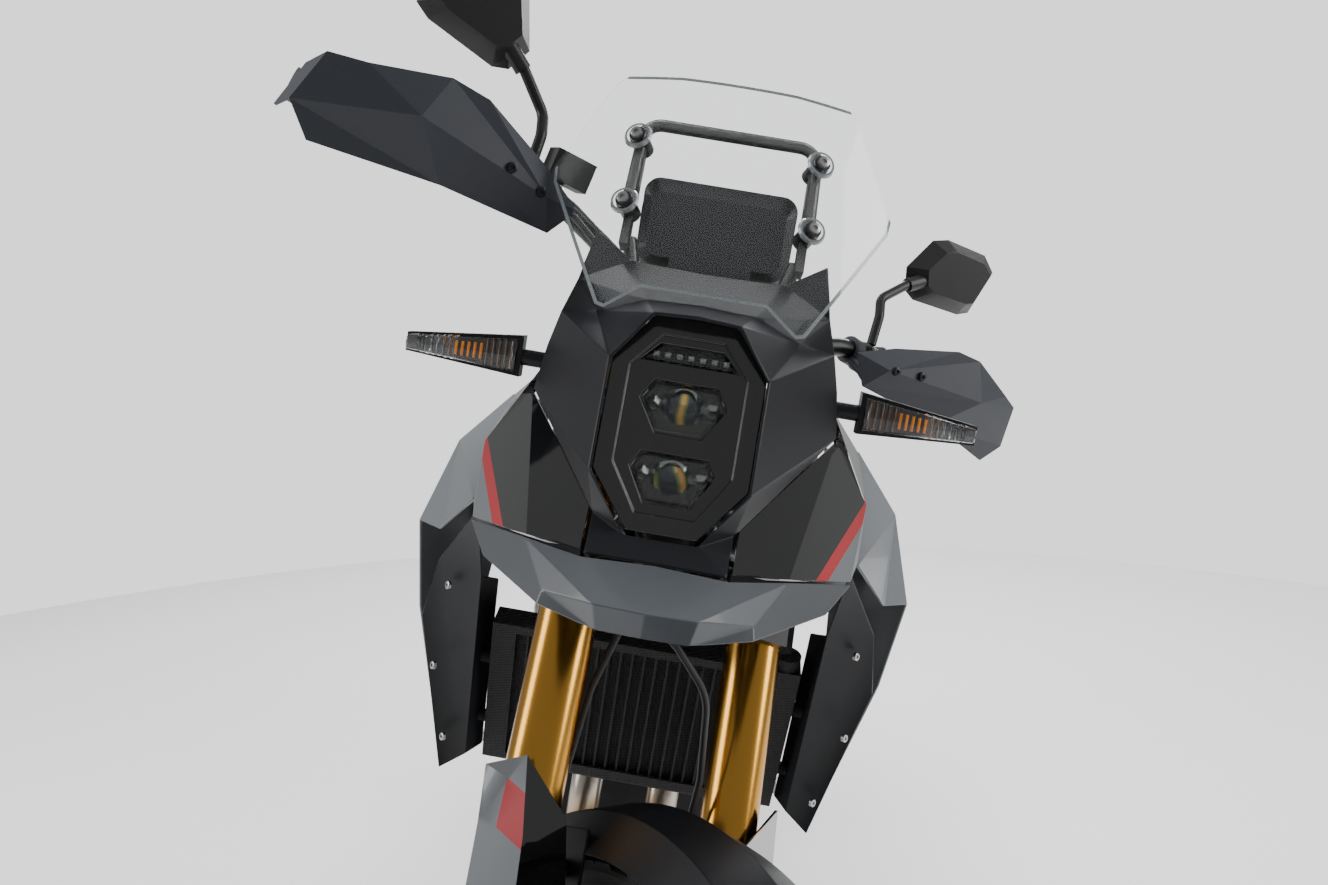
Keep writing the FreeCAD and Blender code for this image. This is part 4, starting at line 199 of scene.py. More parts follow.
grain, grain_in, grain_out = group_node(
    "moulded_grain",
    [("Scale", "NodeSocketFloat", 900), ("Drawn", "NodeSocketVector", (1, 1, 1))],
    [("Height", "NodeSocketFloat")])
place = grain.nodes.new("ShaderNodeTexCoord")
drawn = grain.nodes.new("ShaderNodeVectorMath")
drawn.operation = "MULTIPLY"
pits = grain.nodes.new("ShaderNodeTexNoise")
pits.inputs["Detail"].default_value = 3
grain.links.new(place.outputs["Object"], drawn.inputs[0])
grain.links.new(grain_in.outputs["Drawn"], drawn.inputs[1])
grain.links.new(drawn.outputs[0], pits.inputs["Vector"])
grain.links.new(grain_in.outputs["Scale"], pits.inputs["Scale"])
grain.links.new(pits.outputs["Fac"], grain_out.inputs["Height"])


def finish(name, colour, roughness, metallic=0.0, coat=0.0, mottle=0.12, smudge=0.12, dust=0.03,
           grain_scale=900, depth=0.0001, drawn=(1, 1, 1), shine=0.5):
    """Solid finish with faint handling marks, dust on its upper faces and a fine grain."""
    made, tree, shader = material(name)
    marks = tree.nodes.new("ShaderNodeGroup")
    marks.node_tree = handling
    marks.inputs["Colour"].default_value = (*colour, 1)
    marks.inputs["Mottle"].default_value = mottle
    marks.inputs["Roughness"].default_value = roughness
    marks.inputs["Smudge"].default_value = smudge
    marks.inputs["Dust"].default_value = dust
    pits = tree.nodes.new("ShaderNodeGroup")
    pits.node_tree = grain
    pits.inputs["Scale"].default_value = grain_scale
    pits.inputs["Drawn"].default_value = drawn
    bump = tree.nodes.new("ShaderNodeBump")
    bump.inputs["Strength"].default_value = 0.5
    bump.inputs["Distance"].default_value = depth
    tree.links.new(marks.outputs["Colour"], shader.inputs["Base Color"])
    tree.links.new(marks.outputs["Roughness"], shader.inputs["Roughness"])
    tree.links.new(pits.outputs["Height"], bump.inputs["Height"])
    tree.links.new(bump.outputs["Normal"], shader.inputs["Normal"])
    shader.inputs["Metallic"].default_value = metallic
    shader.inputs["Coat Weight"].default_value = coat
    shader.inputs["Coat Roughness"].default_value = 0.05
    shader.inputs["Specular IOR Level"].default_value = shine
    return made


def dress(made, *names):
    """Gives CAD nodes their material."""
    for name in names:
        nodes[name].data.materials.clear()
        nodes[name].data.materials.append(made)


satin_black = finish("satin_black_paint", (0.012, 0.012, 0.013), 0.36, coat=0.2, mottle=0.15)
dress(satin_black, "frame", "subframe", "cowl_stay", "luggage_rack", "side_stand")


# Swingarm, axles, pegs and pedals. Extruded aluminium arms with welded tube ends in a
# satin clear finish; the axles, pegs and pedals are plated steel.

cast_alloy = finish("satin_cast_alloy", (0.32, 0.33, 0.34), 0.42, metallic=0.9, grain_scale=1400,
                    depth=0.0002)
plated_steel = finish("plated_steel", (0.45, 0.45, 0.46), 0.3, metallic=1, grain_scale=700, depth=0.00006)
dress(cast_alloy, "swingarm", "footpegs")
dress(plated_steel, "chassis_axles", "front_axle", "foot_controls")


# Rear shock. Steel damper body with its preload collar and a coil spring; the spring is
# gloss black and the body satin, and here the whole node takes the spring's black paint.

spring_paint = finish("spring_paint", (0.012, 0.012, 0.013), 0.3, coat=0.3)
dress(spring_paint, "rear_shock")


# Engine. Sand-cast crankcase and cylinders in dark heat-proof paint, smoother die-cast
# side covers, and zinc-plated socket screws round each cover.

engine_paint = finish("dark_engine_paint", (0.045, 0.045, 0.048), 0.5, metallic=0.4, grain_scale=900,
                      depth=0.0004)
cover_paint = finish("cover_paint", (0.065, 0.066, 0.07), 0.4, metallic=0.5, grain_scale=1100, depth=0.0002)
black_screws = finish("black_oxide_screws", (0.020, 0.020, 0.021), 0.35, metallic=0.7, mottle=0.2,
                      grain_scale=1500,
                            depth=0.00005)
zinc = finish("zinc_plated_screws", (0.42, 0.42, 0.42), 0.32, metallic=1, mottle=0.2, grain_scale=1500,
              depth=0.00005)
dress(engine_paint, "crankcase", "cylinders")
dress(cover_paint, "engine_covers")

# The bike's own upright frame, in metres, set down leaning on its stand, and the same
# with the steering turned to its stop. Meshes are drawn upright, in millimetres.
LEANED = Matrix((
    (0.983571, 0.00111198, 0.180516, -0.195),
    (0.0, 0.999981, -0.00615991, -0.056),
    (-0.180519, 0.00605871, 0.983553, -0.00340296),
    (0, 0, 0, 1),
))
STEERED = Matrix((
    (0.789727, -0.447854, 0.419235, -0.59862),
    (0.469415, 0.881134, 0.0570321, -0.162843),
    (-0.394944, 0.151755, 0.906085, 0.127578),
    (0, 0, 0, 1),
))


def piece(name, bm, body, slot, *materials, smooth_below=40, home=None):
    """Object from a finished mesh, on its body; home sets down a mesh that is in mm."""
    if home:
        bmesh.ops.transform(bm, matrix=home @ Matrix.Scale(0.001, 4), verts=bm.verts)
    mesh = bpy.data.meshes.new(name)
    bm.to_mesh(mesh)
    bm.free()
    for made in materials:
        mesh.materials.append(made)
    for face in mesh.polygons:
        face.use_smooth = True
    mesh.set_sharp_from_angle(angle=radians(smooth_below))
    new = bpy.data.objects.new(name, mesh)
    scene.collection.objects.link(new)
    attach(new, body)
    return new


def screw_heads(name, rows, width, rise, made, home, body, slot):
    """Socket-head screws; each row gives a place and the way its head faces, in mm."""
    bm = bmesh.new()
    for x, y, z, ax, ay, az in rows:
        facing = Vector((ax, ay, az)).normalized()
        turn = facing.to_track_quat("Z", "Y").to_matrix().to_4x4()
        at = home @ Matrix.Translation(Vector((x, y, z)) / 1000) @ turn
        head = bmesh.ops.create_cone(bm, cap_ends=True, segments=12, radius1=width / 2000,
                                     radius2=width / 2150, depth=rise / 1000,
                                     matrix=at @ Matrix.Translation((0, 0, rise / 2000)))
        crown = max((face for vert in head["verts"] for face in vert.link_faces if len(face.verts) == 12),
                    key=lambda face: face.calc_center_median().dot(at.to_3x3().col[2]))
        bmesh.ops.inset_individual(bm, faces=[crown], thickness=width / 14000, depth=width / 30000)
        bmesh.ops.inset_individual(bm, faces=[crown], thickness=width / 5200, depth=0)
        bmesh.ops.inset_individual(bm, faces=[crown], thickness=0.0002, depth=-rise / 2000)
    return piece(name, bm, body, slot, made, smooth_below=30)


COVER_SCREWS = [
    # side, y, z, circle radius, count, head plane
    (-1, 66, 392, 90, 9, 118.3),
    (-1, -98, 400, 58, 5, 116.3),
    (1, -78, 398, 80, 8, 118.3),
    (1, 20, 470, 26, 3, 120.3),
]
rows = []
for side, y, z, radius, count, plane in COVER_SCREWS:
    for i in range(count):
        angle = 2 * pi * (i + 0.5) / count
        rows.append((side * plane, y + radius * cos(angle), z + radius * sin(angle), side, 0, 0))
screw_heads("cover_screws", rows, 10, 5, zinc, LEANED, "chassis", "sprocket_steel")


# Chain drive. Hardened steel sprockets and an oiled roller chain of 118 links: a pair of
# inner plates on their rollers, then a pair of outer plates on their pins, and so on.

sprocket_steel = finish("sprocket_steel", (0.2, 0.2, 0.21), 0.35, metallic=1, grain_scale=600, depth=0.0001)
chain_steel = finish("oiled_chain", (0.12, 0.11, 0.1), 0.3, metallic=1, mottle=0.5)
dress(sprocket_steel, "front_sprocket", "rear_sprocket")

PITCH = 15.875
SMALL_SPROCKET = (150, 392, PITCH / 2 / sin(pi / 17))
LARGE_SPROCKET = (785, 321, PITCH / 2 / sin(pi / 51))
span = Vector((LARGE_SPROCKET[0] - SMALL_SPROCKET[0], LARGE_SPROCKET[1] - SMALL_SPROCKET[1]))
heading = atan2(span.y, span.x)
tilt = asin((LARGE_SPROCKET[2] - SMALL_SPROCKET[2]) / span.length)
run = span.length * cos(tilt)
wraps = (SMALL_SPROCKET[2] * (pi - 2 * tilt), LARGE_SPROCKET[2] * (pi + 2 * tilt))
loop = 2 * run + sum(wraps)


def direction(angle):
    return Vector((cos(angle), sin(angle)))


def on_sprocket(sprocket, angle):
    """Point on a sprocket's pitch circle; sprocket columns: y, z, pitch radius."""
    return Vector(sprocket[:2]) + direction(angle) * sprocket[2]


def chain_at(along):
    """Place and heading on the chain's pitch line, in the upright frame."""
    along %= loop
    up = heading + pi / 2 + tilt
    if along < run:
        return on_sprocket(SMALL_SPROCKET, up) + direction(up - pi / 2) * along, up - pi / 2
    along -= run
    if along < wraps[1]:
        angle = up - along / LARGE_SPROCKET[2]
        return on_sprocket(LARGE_SPROCKET, angle), angle - pi / 2
    along -= wraps[1]
    down = heading - pi / 2 - tilt
    if along < run:
        return on_sprocket(LARGE_SPROCKET, down) + direction(down - pi / 2) * along, down - pi / 2
    along -= run
    angle = down - along / SMALL_SPROCKET[2]
    return on_sprocket(SMALL_SPROCKET, angle), angle - pi / 2


CHAIN_X = 88
INNER_PLATES = 6.1
OUTER_PLATES = 8.1
links = 2 * round(loop / PITCH / 2)
bm = bmesh.new()
for i in range(links):
    ends = [Vector((0, *chain_at((i + k) * loop / links)[0])) for k in (0, 1)]
    middle = (ends[0] + ends[1]) / 2
    ahead = (ends[1] - ends[0]).normalized()
    turn = Matrix((Vector((1, 0, 0)), ahead, Vector((1, 0, 0)).cross(ahead))).transposed().to_4x4()
    for side in (-1, 1):
        across = CHAIN_X + side * (INNER_PLATES if i % 2 else OUTER_PLATES)
        at = Matrix.Translation((across, middle.y, middle.z)) @ turn
        plate = bmesh.ops.create_cone(bm, cap_ends=True, segments=12, radius1=7.0, radius2=7.0, depth=1.7,
                                      matrix=at @ Matrix.Rotation(pi / 2, 4, "Y"))
        for vert in plate["verts"]:
            local = at.inverted() @ vert.co
            reach = local.y + (PITCH / 2 if local.y > 0.1 else -PITCH / 2 if local.y < -0.1 else 0)
            vert.co = at @ Vector((local.x, reach, local.z * (0.72 if abs(local.y) < 0.1 else 1)))
    roller = Matrix.Translation((CHAIN_X, *chain_at(i * loop / links)[0])) @ Matrix.Rotation(pi / 2, 4, "Y")
    bmesh.ops.create_cone(bm, cap_ends=True, segments=8, radius1=4.9, radius2=4.9, depth=10.2, matrix=roller)
    bmesh.ops.create_cone(bm, cap_ends=True, segments=6, radius1=2.4, radius2=2.4, depth=17.9, matrix=roller)
chain = piece("roller_chain", bm, "chassis", "chain_steel", chain_steel, smooth_below=35, home=LEANED)
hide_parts("drive_chain")


# Skid plate. Pressed aluminium tray under the sump, brushed along its length, with four
# dished screws into the frame's lugs.

brushed_alloy = finish("brushed_tray", (0.33, 0.33, 0.34), 0.36, metallic=1, mottle=0.2, grain_scale=300,
                       depth=0.0003, drawn=(6, 0.3, 1))
dress(brushed_alloy, "skid_plate")


# Radiator. Matt black aluminium core between its two tanks. The fins are folded so fine
# that they read as a close diamond mesh; the core's black darkens in the mesh's low parts,
# painted shade in its hollows.

core_black, tree, shader = material("radiator_core")
place = tree.nodes.new("ShaderNodeTexCoord")
folds = tree.nodes.new("ShaderNodeTexWave")
folds.inputs["Scale"].default_value = 170
folds.inputs["Distortion"].default_value = 0
rows = tree.nodes.new("ShaderNodeTexWave")
rows.bands_direction = "Z"
rows.inputs["Scale"].default_value = 150
mesh_height = tree.nodes.new("ShaderNodeMath")
mesh_height.operation = "MULTIPLY"
# Painted shade: the height that drives the bump also darkens the colour in the hollows.
dark = tree.nodes.new("ShaderNodeValToRGB")
dark.color_ramp.elements[0].color = (0.002, 0.002, 0.002, 1)
dark.color_ramp.elements[1].color = (0.012, 0.012, 0.013, 1)
bump = tree.nodes.new("ShaderNodeBump")
bump.inputs["Distance"].default_value = 0.002
tree.links.new(place.outputs["Object"], folds.inputs["Vector"])
tree.links.new(place.outputs["Object"], rows.inputs["Vector"])
tree.links.new(folds.outputs["Fac"], mesh_height.inputs[0])
tree.links.new(rows.outputs["Fac"], mesh_height.inputs[1])
tree.links.new(mesh_height.outputs[0], dark.inputs["Fac"])
tree.links.new(mesh_height.outputs[0], bump.inputs["Height"])
tree.links.new(dark.outputs["Color"], shader.inputs["Base Color"])
tree.links.new(bump.outputs["Normal"], shader.inputs["Normal"])
shader.inputs["Roughness"].default_value = 0.62
dress(core_black, "radiator")


# Exhaust. Stainless header pipes, straw to bronze with heat near the ports, and a
# brushed silencer can.

header_steel, tree, shader = material("heated_steel")
place = tree.nodes.new("ShaderNodeTexCoord")
heat = tree.nodes.new("ShaderNodeTexNoise")
heat.inputs["Scale"].default_value = 7
bands = tree.nodes.new("ShaderNodeValToRGB")
bands.color_ramp.elements[0].color = (0.30, 0.22, 0.15, 1)
bands.color_ramp.elements[0].position = 0.35
bands.color_ramp.elements[1].color = (0.42, 0.38, 0.33, 1)
bands.color_ramp.elements[1].position = 0.65
straw = bands.color_ramp.elements.new(0.5)
straw.color = (0.36, 0.25, 0.13, 1)
scratch = tree.nodes.new("ShaderNodeTexNoise")
scratch.inputs["Scale"].default_value = 400
bump = tree.nodes.new("ShaderNodeBump")
bump.inputs["Strength"].default_value = 0.3
bump.inputs["Distance"].default_value = 0.0001
tree.links.new(place.outputs["Object"], heat.inputs["Vector"])
tree.links.new(place.outputs["Object"], scratch.inputs["Vector"])
tree.links.new(heat.outputs["Fac"], bands.inputs["Fac"])
tree.links.new(bands.outputs["Color"], shader.inputs["Base Color"])
tree.links.new(scratch.outputs["Fac"], bump.inputs["Height"])
tree.links.new(bump.outputs["Normal"], shader.inputs["Normal"])
shader.inputs["Metallic"].default_value = 1
shader.inputs["Roughness"].default_value = 0.3
dress(header_steel, "header_pipes")

can_steel = finish("brushed_can", (0.36, 0.36, 0.37), 0.3, metallic=1, grain_scale=260, depth=0.0002,
                   drawn=(1, 0.2, 3))
dress(can_steel, "silencer")


# Coolant and brake hoses. Moulded rubber bends pushed on to the radiator's necks, and
# slim braided brake hoses in a satin black sleeve.

hose_rubber = finish("hose_rubber", (0.012, 0.012, 0.013), 0.5, mottle=0.2, grain_scale=900, depth=0.00015)
dress(hose_rubber, "coolant_hoses", "brake_lines")


# Fuel tank and filler cap. Pressed steel tank in satin grey lacquer; the cap is cast,
# painted black and held round its edge by a ring of small screws.

def eased(name, source, body, slot, *materials, width=1.2, cuts=(), paint=None, home=None, smooth_below=32,
          border=None):
    """Copy of a CAD panel whose edges are rounded over. Cuts are planes, and paint picks
    a finish for each face from its middle and its facing; both are in mm in home's frame."""
    home = home or LEANED
    bm = bmesh.new()
    bm.from_mesh(nodes[source].data)
    bmesh.ops.transform(bm, matrix=Matrix.Scale(1000, 4) @ home.inverted(), verts=bm.verts)
    bmesh.ops.remove_doubles(bm, verts=bm.verts, dist=0.02)
    bmesh.ops.dissolve_limit(bm, angle_limit=radians(0.6), verts=bm.verts, edges=bm.edges)
    bm.normal_update()
    for place, facing in cuts:
        bmesh.ops.bisect_plane(bm, geom=bm.verts[:] + bm.edges[:] + bm.faces[:], dist=0.01,
                               plane_co=place, plane_no=facing)
    if paint:
        bm.normal_update()
        for face in bm.faces:
            face.material_index = paint(face.calc_center_median(), face.normal)
    # A border insets a band round the faces it picks and gives the band the second finish; on the windscreen
    # that band is painted shade.
    if border:
        in_front, band = border
        skin = [face for face in bm.faces if in_front(face.calc_center_median(), face.normal)]
        rim = bmesh.ops.inset_region(bm, faces=skin, thickness=band, depth=0, use_boundary=True,
                                     use_even_offset=True)
        for face in rim["faces"]:
            face.material_index = 1
    if width:
        edges = [edge for edge in bm.edges
                 if len(edge.link_faces) == 2 and edge.calc_face_angle(0) > radians(smooth_below)]
        bmesh.ops.bevel(bm, geom=edges, offset=width, offset_type="OFFSET", segments=2, profile=0.5,
                        affect="EDGES", material=-1, clamp_overlap=True, loop_slide=True)
    new = piece(name, bm, body, slot, *materials, smooth_below=smooth_below + 8, home=home)
    firm = new.modifiers.new("flats", "WEIGHTED_NORMAL")
    firm.keep_sharp = True
    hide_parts(source)
    return new


tank_lacquer = finish("tank_lacquer", (0.05, 0.053, 0.058), 0.34, coat=0.35, mottle=0.05, grain_scale=1200,
                      depth=0.00003)
cap_black = finish("filler_cap", (0.015, 0.015, 0.016), 0.32, metallic=0.6)
eased("tank_shell", "fuel_tank", "chassis", "tank_grey", tank_lacquer, width=6, smooth_below=12)
dress(cap_black, "fuel_cap")


# Body panels. Injection mouldings: a matt grey beak and shrouds, gloss black inner side
# fairings parted from the grey by a thin red line, and a fine-textured black nose.

panel_grey = finish("matt_grey_panel", (0.135, 0.145, 0.155), 0.36, coat=0.3, mottle=0.05,
                    grain_scale=1500, depth=0.00003)
beak_grey = finish("beak_grey_panel", (0.052, 0.058, 0.066), 0.38, coat=0.2, mottle=0.05, grain_scale=1500,
                   depth=0.00003)
gloss_black = finish("gloss_black_panel", (0.003, 0.003, 0.0035), 0.05, coat=1.0, mottle=0.1, smudge=0.03,
                     dust=0.004,
                     grain_scale=40, depth=0.00001)
matt_black = finish("matt_black_moulding", (0.0056, 0.0062, 0.0086), 0.40, mottle=0.12, dust=0.006,
                    grain_scale=1100,
                    depth=0.00003, shine=0.3)
stripe_red = finish("red_stripe", (0.36, 0.012, 0.018), 0.4, coat=0.2, mottle=0.06, dust=0.01)

STRIPE_TOP = Vector((180, -518, 950))
STRIPE_FOOT = Vector((136, -582, 899))
STRIPE_WIDTH = 11
STRIPE_END_Y = -455
across_stripe = (STRIPE_FOOT - STRIPE_TOP).cross(Vector((0, 1, 0))).normalized()


def beyond_stripe(place):
    """Distance outside the stripe's inner edge; the two sides mirror each other."""
    return (Vector((abs(place.x), place.y, place.z)) - STRIPE_TOP).dot(across_stripe)


def fairing_colour(place, facing):
    out = beyond_stripe(place)
    if place.y > STRIPE_END_Y or out < 0:
        return 0
    return 2 if out < STRIPE_WIDTH else 1


stripe_cuts = []
for side in (1, -1):
    for by in (0, STRIPE_WIDTH):
        cut = STRIPE_TOP + across_stripe * by
        facing = (side * across_stripe.x, across_stripe.y, across_stripe.z)
        stripe_cuts.append(((side * cut.x, cut.y, cut.z), facing))
stripe_cuts.append(((0, STRIPE_END_Y, 0), (0, 1, 0)))
eased("fairing_sides", "side_fairings", "chassis", "gloss_panel", gloss_black, panel_grey, stripe_red,
      smooth_below=24, cuts=stripe_cuts, paint=fairing_colour)
eased("beak_lip", "beak", "chassis", "grey_panel", beak_grey, width=3, smooth_below=14)
shroud_shells = eased("shroud_shells", "tank_shrouds", "chassis", "grey_panel", panel_grey, width=4,
                      smooth_below=14)
tail_shells = eased("tail_shells", "tail_panels", "chassis", "gloss_panel", gloss_black, width=1.5)
eased("tail_moulding", "tail_unit", "chassis", "black_plastic", matt_black, width=2)
eased("nose_shell", "nose_cowl", "chassis", "black_plastic", matt_black, width=2.2, smooth_below=9)
eased("radiator_shields", "radiator_covers", "chassis", "black_plastic", matt_black, width=1.4)
eased("rear_hugger_shell", "rear_hugger", "chassis", "black_plastic", matt_black, width=1.0)
SHIELD_SCREWS = ((216, -421, 782), (222, -411, 689), (205, -391, 603))
rows = [(side * x, y, z, side * 0.72, -0.68, 0.1) for side in (-1, 1) for x, y, z in SHIELD_SCREWS]
screw_heads("shield_screws", rows, 9, 3, zinc, LEANED, "chassis", "stand_paint")


# Turned-in flanges along the fairings' lower edge, which the beak's lip laps over.

bm = bmesh.new()
FLANGE_LINE = [
    # along the panel's edge, along the flange's foot
    ((61, -677, 905), (60, -673, 889)),
    ((109, -647, 905), (107, -643, 889)),
    ((171, -562.5, 893.5), (168, -559, 878)),
]
for side in (-1, 1):
    line = [[bm.verts.new((side * x, y, z)) for x, y, z in pair] for pair in FLANGE_LINE]
    for (a, b), (c, d) in zip(line, line[1:]):
        bm.faces.new((a, b, d, c))
bmesh.ops.recalc_face_normals(bm, faces=bm.faces)
bmesh.ops.solidify(bm, geom=bm.faces[:], thickness=1.5)
bmesh.ops.recalc_face_normals(bm, faces=bm.faces)
piece("fairing_flanges", bm, "chassis", "gloss_panel", matt_black, home=LEANED)


# Screws through the shrouds and tail panels into their brackets, blacked so that they
# hardly show.

def on_skin(shell, y, z, side):
    """Where a line from beside the bike first meets a panel, and the way the panel faces."""
    start = LEANED @ (Vector((side * 400, y, z)) / 1000)
    _, place, facing, _ = shell.ray_cast(start, (LEANED.to_3x3() @ Vector((-side, 0, 0))).normalized())
    home = LEANED.inverted()
    return (*(home @ place * 1000), *(home.to_3x3() @ facing))


SHROUD_SCREWS = ((-330, 930), (-150, 905), (-240, 760), (-335, 660))
TAIL_SCREWS = ((300, 780), (520, 850), (760, 880))
bpy.context.view_layer.update()
rows = []
for shell, spots in ((shroud_shells, SHROUD_SCREWS), (tail_shells, TAIL_SCREWS)):
    for side in (-1, 1):
        for y, z in spots:
            row = on_skin(shell, y, z, side)
            if abs(row[3]) > 0.3:
                rows.append(row)
screw_heads("panel_screws", rows, 11, 3, black_screws, LEANED, "chassis", "stand_paint")


# Headlamp. Stepped black housing; behind each smoked window a projector glass in its
# bright ring stands between two faceted reflectors, with a light bar across the top.

lamp_black = finish("lamp_housing", (0.006, 0.006, 0.007), 0.14, coat=0.7, grain_scale=900, depth=0.00003)
eased("lamp_bezel", "headlamp", "chassis", "lamp_housing", lamp_black, width=1.2)


def clear_moulding(name, colour, cloud, ior=1.49):
    """Transparent moulding, faintly clouded."""
    made, tree, shader = material(name)
    place = tree.nodes.new("ShaderNodeTexCoord")
    cloudy = tree.nodes.new("ShaderNodeTexNoise")
    cloudy.inputs["Scale"].default_value = 14
    tints = tree.nodes.new("ShaderNodeValToRGB")
    tints.color_ramp.elements[0].color = (*[c * cloud for c in colour], 1)
    tints.color_ramp.elements[1].color = (*colour, 1)
    hazy = tree.nodes.new("ShaderNodeMapRange")
    hazy.inputs["To Min"].default_value = 0.0
    hazy.inputs["To Max"].default_value = 0.008
    tree.links.new(place.outputs["Object"], cloudy.inputs["Vector"])
    tree.links.new(cloudy.outputs["Fac"], tints.inputs["Fac"])
    tree.links.new(tints.outputs["Color"], shader.inputs["Base Color"])
    tree.links.new(cloudy.outputs["Fac"], hazy.inputs["Value"])
    tree.links.new(hazy.outputs["Result"], shader.inputs["Roughness"])
    shader.inputs["Transmission Weight"].default_value = 1
    shader.inputs["IOR"].default_value = ior
    return made


smoked_lens = clear_moulding("smoked_lens", (0.46, 0.48, 0.46), 0.9, ior=1.3)
reflector = finish("vacuum_plated_reflector", (0.42, 0.43, 0.44), 0.12, metallic=1, mottle=0.1, dust=0,
                   grain_scale=60, depth=0.0003)
# The projector glass carries painted glints: wave bands ramped from near black to green and amber. The same
# colour feeds its emission, a painted glow inside the unlit lamp.
projector_glass_painted_glow, tree, shader = material("projector_glass_painted_glow")
place = tree.nodes.new("ShaderNodeTexCoord")
painted_glint_bands = tree.nodes.new("ShaderNodeTexWave")
painted_glint_bands.wave_type = "BANDS"
painted_glint_bands.bands_direction = "X"
painted_glint_bands.inputs["Scale"].default_value = 14
painted_glint_bands.inputs["Distortion"].default_value = 5
painted_glints = tree.nodes.new("ShaderNodeValToRGB")
painted_glints.color_ramp.elements[0].color = (0.01, 0.012, 0.02, 1)
painted_glints.color_ramp.elements[0].position = 0.55
painted_glints.color_ramp.elements[1].color = (0.34, 0.16, 0.05, 1)
painted_glints.color_ramp.elements[1].position = 0.98
painted_green_glint = painted_glints.color_ramp.elements.new(0.86)
painted_green_glint.color = (0.10, 0.13, 0.02, 1)
tree.links.new(place.outputs["Object"], painted_glint_bands.inputs["Vector"])
tree.links.new(painted_glint_bands.outputs["Fac"], painted_glints.inputs["Fac"])
tree.links.new(painted_glints.outputs["Color"], shader.inputs["Base Color"])
shader.inputs["Roughness"].default_value = 0.05
shader.inputs["Metallic"].default_value = 0.5
shader.inputs["Coat Weight"].default_value = 1
# Painted glow: the glint colour drives emission, though the lamp is not lit.
tree.links.new(painted_glints.outputs["Color"], shader.inputs["Emission Color"])
shader.inputs["Emission Strength"].default_value = 0.9

LAMP_FACE = Vector((0, -652, 915))
LAMP_SLOPE = 52 / 195
BAR_WINDOW_Z = 1067
LAMP_WINDOWS = [
    # corners: x, z
    [(-20, 1003), (20, 1003), (37, 1030), (27, 1046), (-27, 1046), (-37, 1030)],
    [(-20, 946), (20, 946), (36, 974), (28, 987), (-28, 987), (-36, 974)],
    [(-42, 1061), (42, 1061), (27, 1076), (-27, 1076)],
]


def lamp_face(x, z, back=0):
    """Point on the lamp's sloping face, or some way behind it."""
    return Vector((x, LAMP_FACE.y + (z - LAMP_FACE.z) * LAMP_SLOPE + back, z))


bm = bmesh.new()
for window in LAMP_WINDOWS:
    middle = Vector((0, sum(z for x, z in window) / len(window)))
    inside = [middle.lerp(Vector(corner), 0.97) for corner in window]
    pane = bm.faces.new([bm.verts.new(lamp_face(x, z)) for x, z in inside])
    bmesh.ops.recalc_face_normals(bm, faces=[pane])
    if pane.normal.y > 0:
        pane.normal_flip()
    rim = bmesh.ops.inset_individual(bm, faces=[pane], thickness=2.5, depth=1.2)["faces"]
    bmesh.ops.solidify(bm, geom=[pane] + rim, thickness=2.2)
bmesh.ops.recalc_face_normals(bm, faces=bm.faces)
headlamp_glass = piece("headlamp_glass", bm, "chassis", "lamp_lens", smoked_lens, smooth_below=25,
                       home=LEANED)
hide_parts("lamp_lenses")

lamp_turn = Matrix.Rotation(pi / 2 + atan2(LAMP_SLOPE, 1), 4, "X")
bm = bmesh.new()
rings = bmesh.new()
bowls = bmesh.new()
for low, high, glass_r in ((1003, 1046, 15), (946, 987, 14)):
    middle = (low + high) / 2 - 1
    at = Matrix.Translation(lamp_face(0, middle, 9.5)) @ lamp_turn
    bmesh.ops.create_uvsphere(bm, u_segments=32, v_segments=16, radius=glass_r,
                              matrix=at @ Matrix.Scale(0.42, 4, (0, 0, 1)))
    bmesh.ops.create_cone(rings, segments=36, radius1=glass_r + 4, radius2=glass_r + 0.6, depth=4.5,
                          matrix=at)
    for side in (-1, 1):
        bowl = Matrix.Translation(lamp_face(side * 25, middle + 1, 8.5)) @ lamp_turn
        bmesh.ops.create_cone(bowls, segments=5, radius1=8.5, radius2=4, depth=5,
                              matrix=bowl @ Matrix.Rotation(radians(90 + side * 20), 4, "Z"))
for i in range(7):
    at = Matrix.Translation(lamp_face(-30 + i * 10, BAR_WINDOW_Z, 8)) @ lamp_turn
    bmesh.ops.create_cone(bowls, cap_ends=True, segments=4, radius1=6, radius2=3.5, depth=4,
                          matrix=at @ Matrix.Rotation(pi / 4, 4, "Z"))
bmesh.ops.solidify(rings, geom=rings.faces[:], thickness=0.8)
bmesh.ops.solidify(bowls, geom=bowls.faces[:], thickness=0.6)
piece("projector_lenses", bm, "chassis", "lamp_lens", projector_glass_painted_glow, home=LEANED)
piece("projector_rings", rings, "chassis", "lamp_lens", reflector, home=LEANED)
piece("lamp_reflectors", bowls, "chassis", "lamp_lens", reflector, smooth_below=10, home=LEANED)


# Indicators. Tapering black bodies on rubber stalks, each with a clear ribbed lens over
# an amber bulb.

clear_lens = clear_moulding("indicator_lens", (0.93, 0.94, 0.93), 0.97)


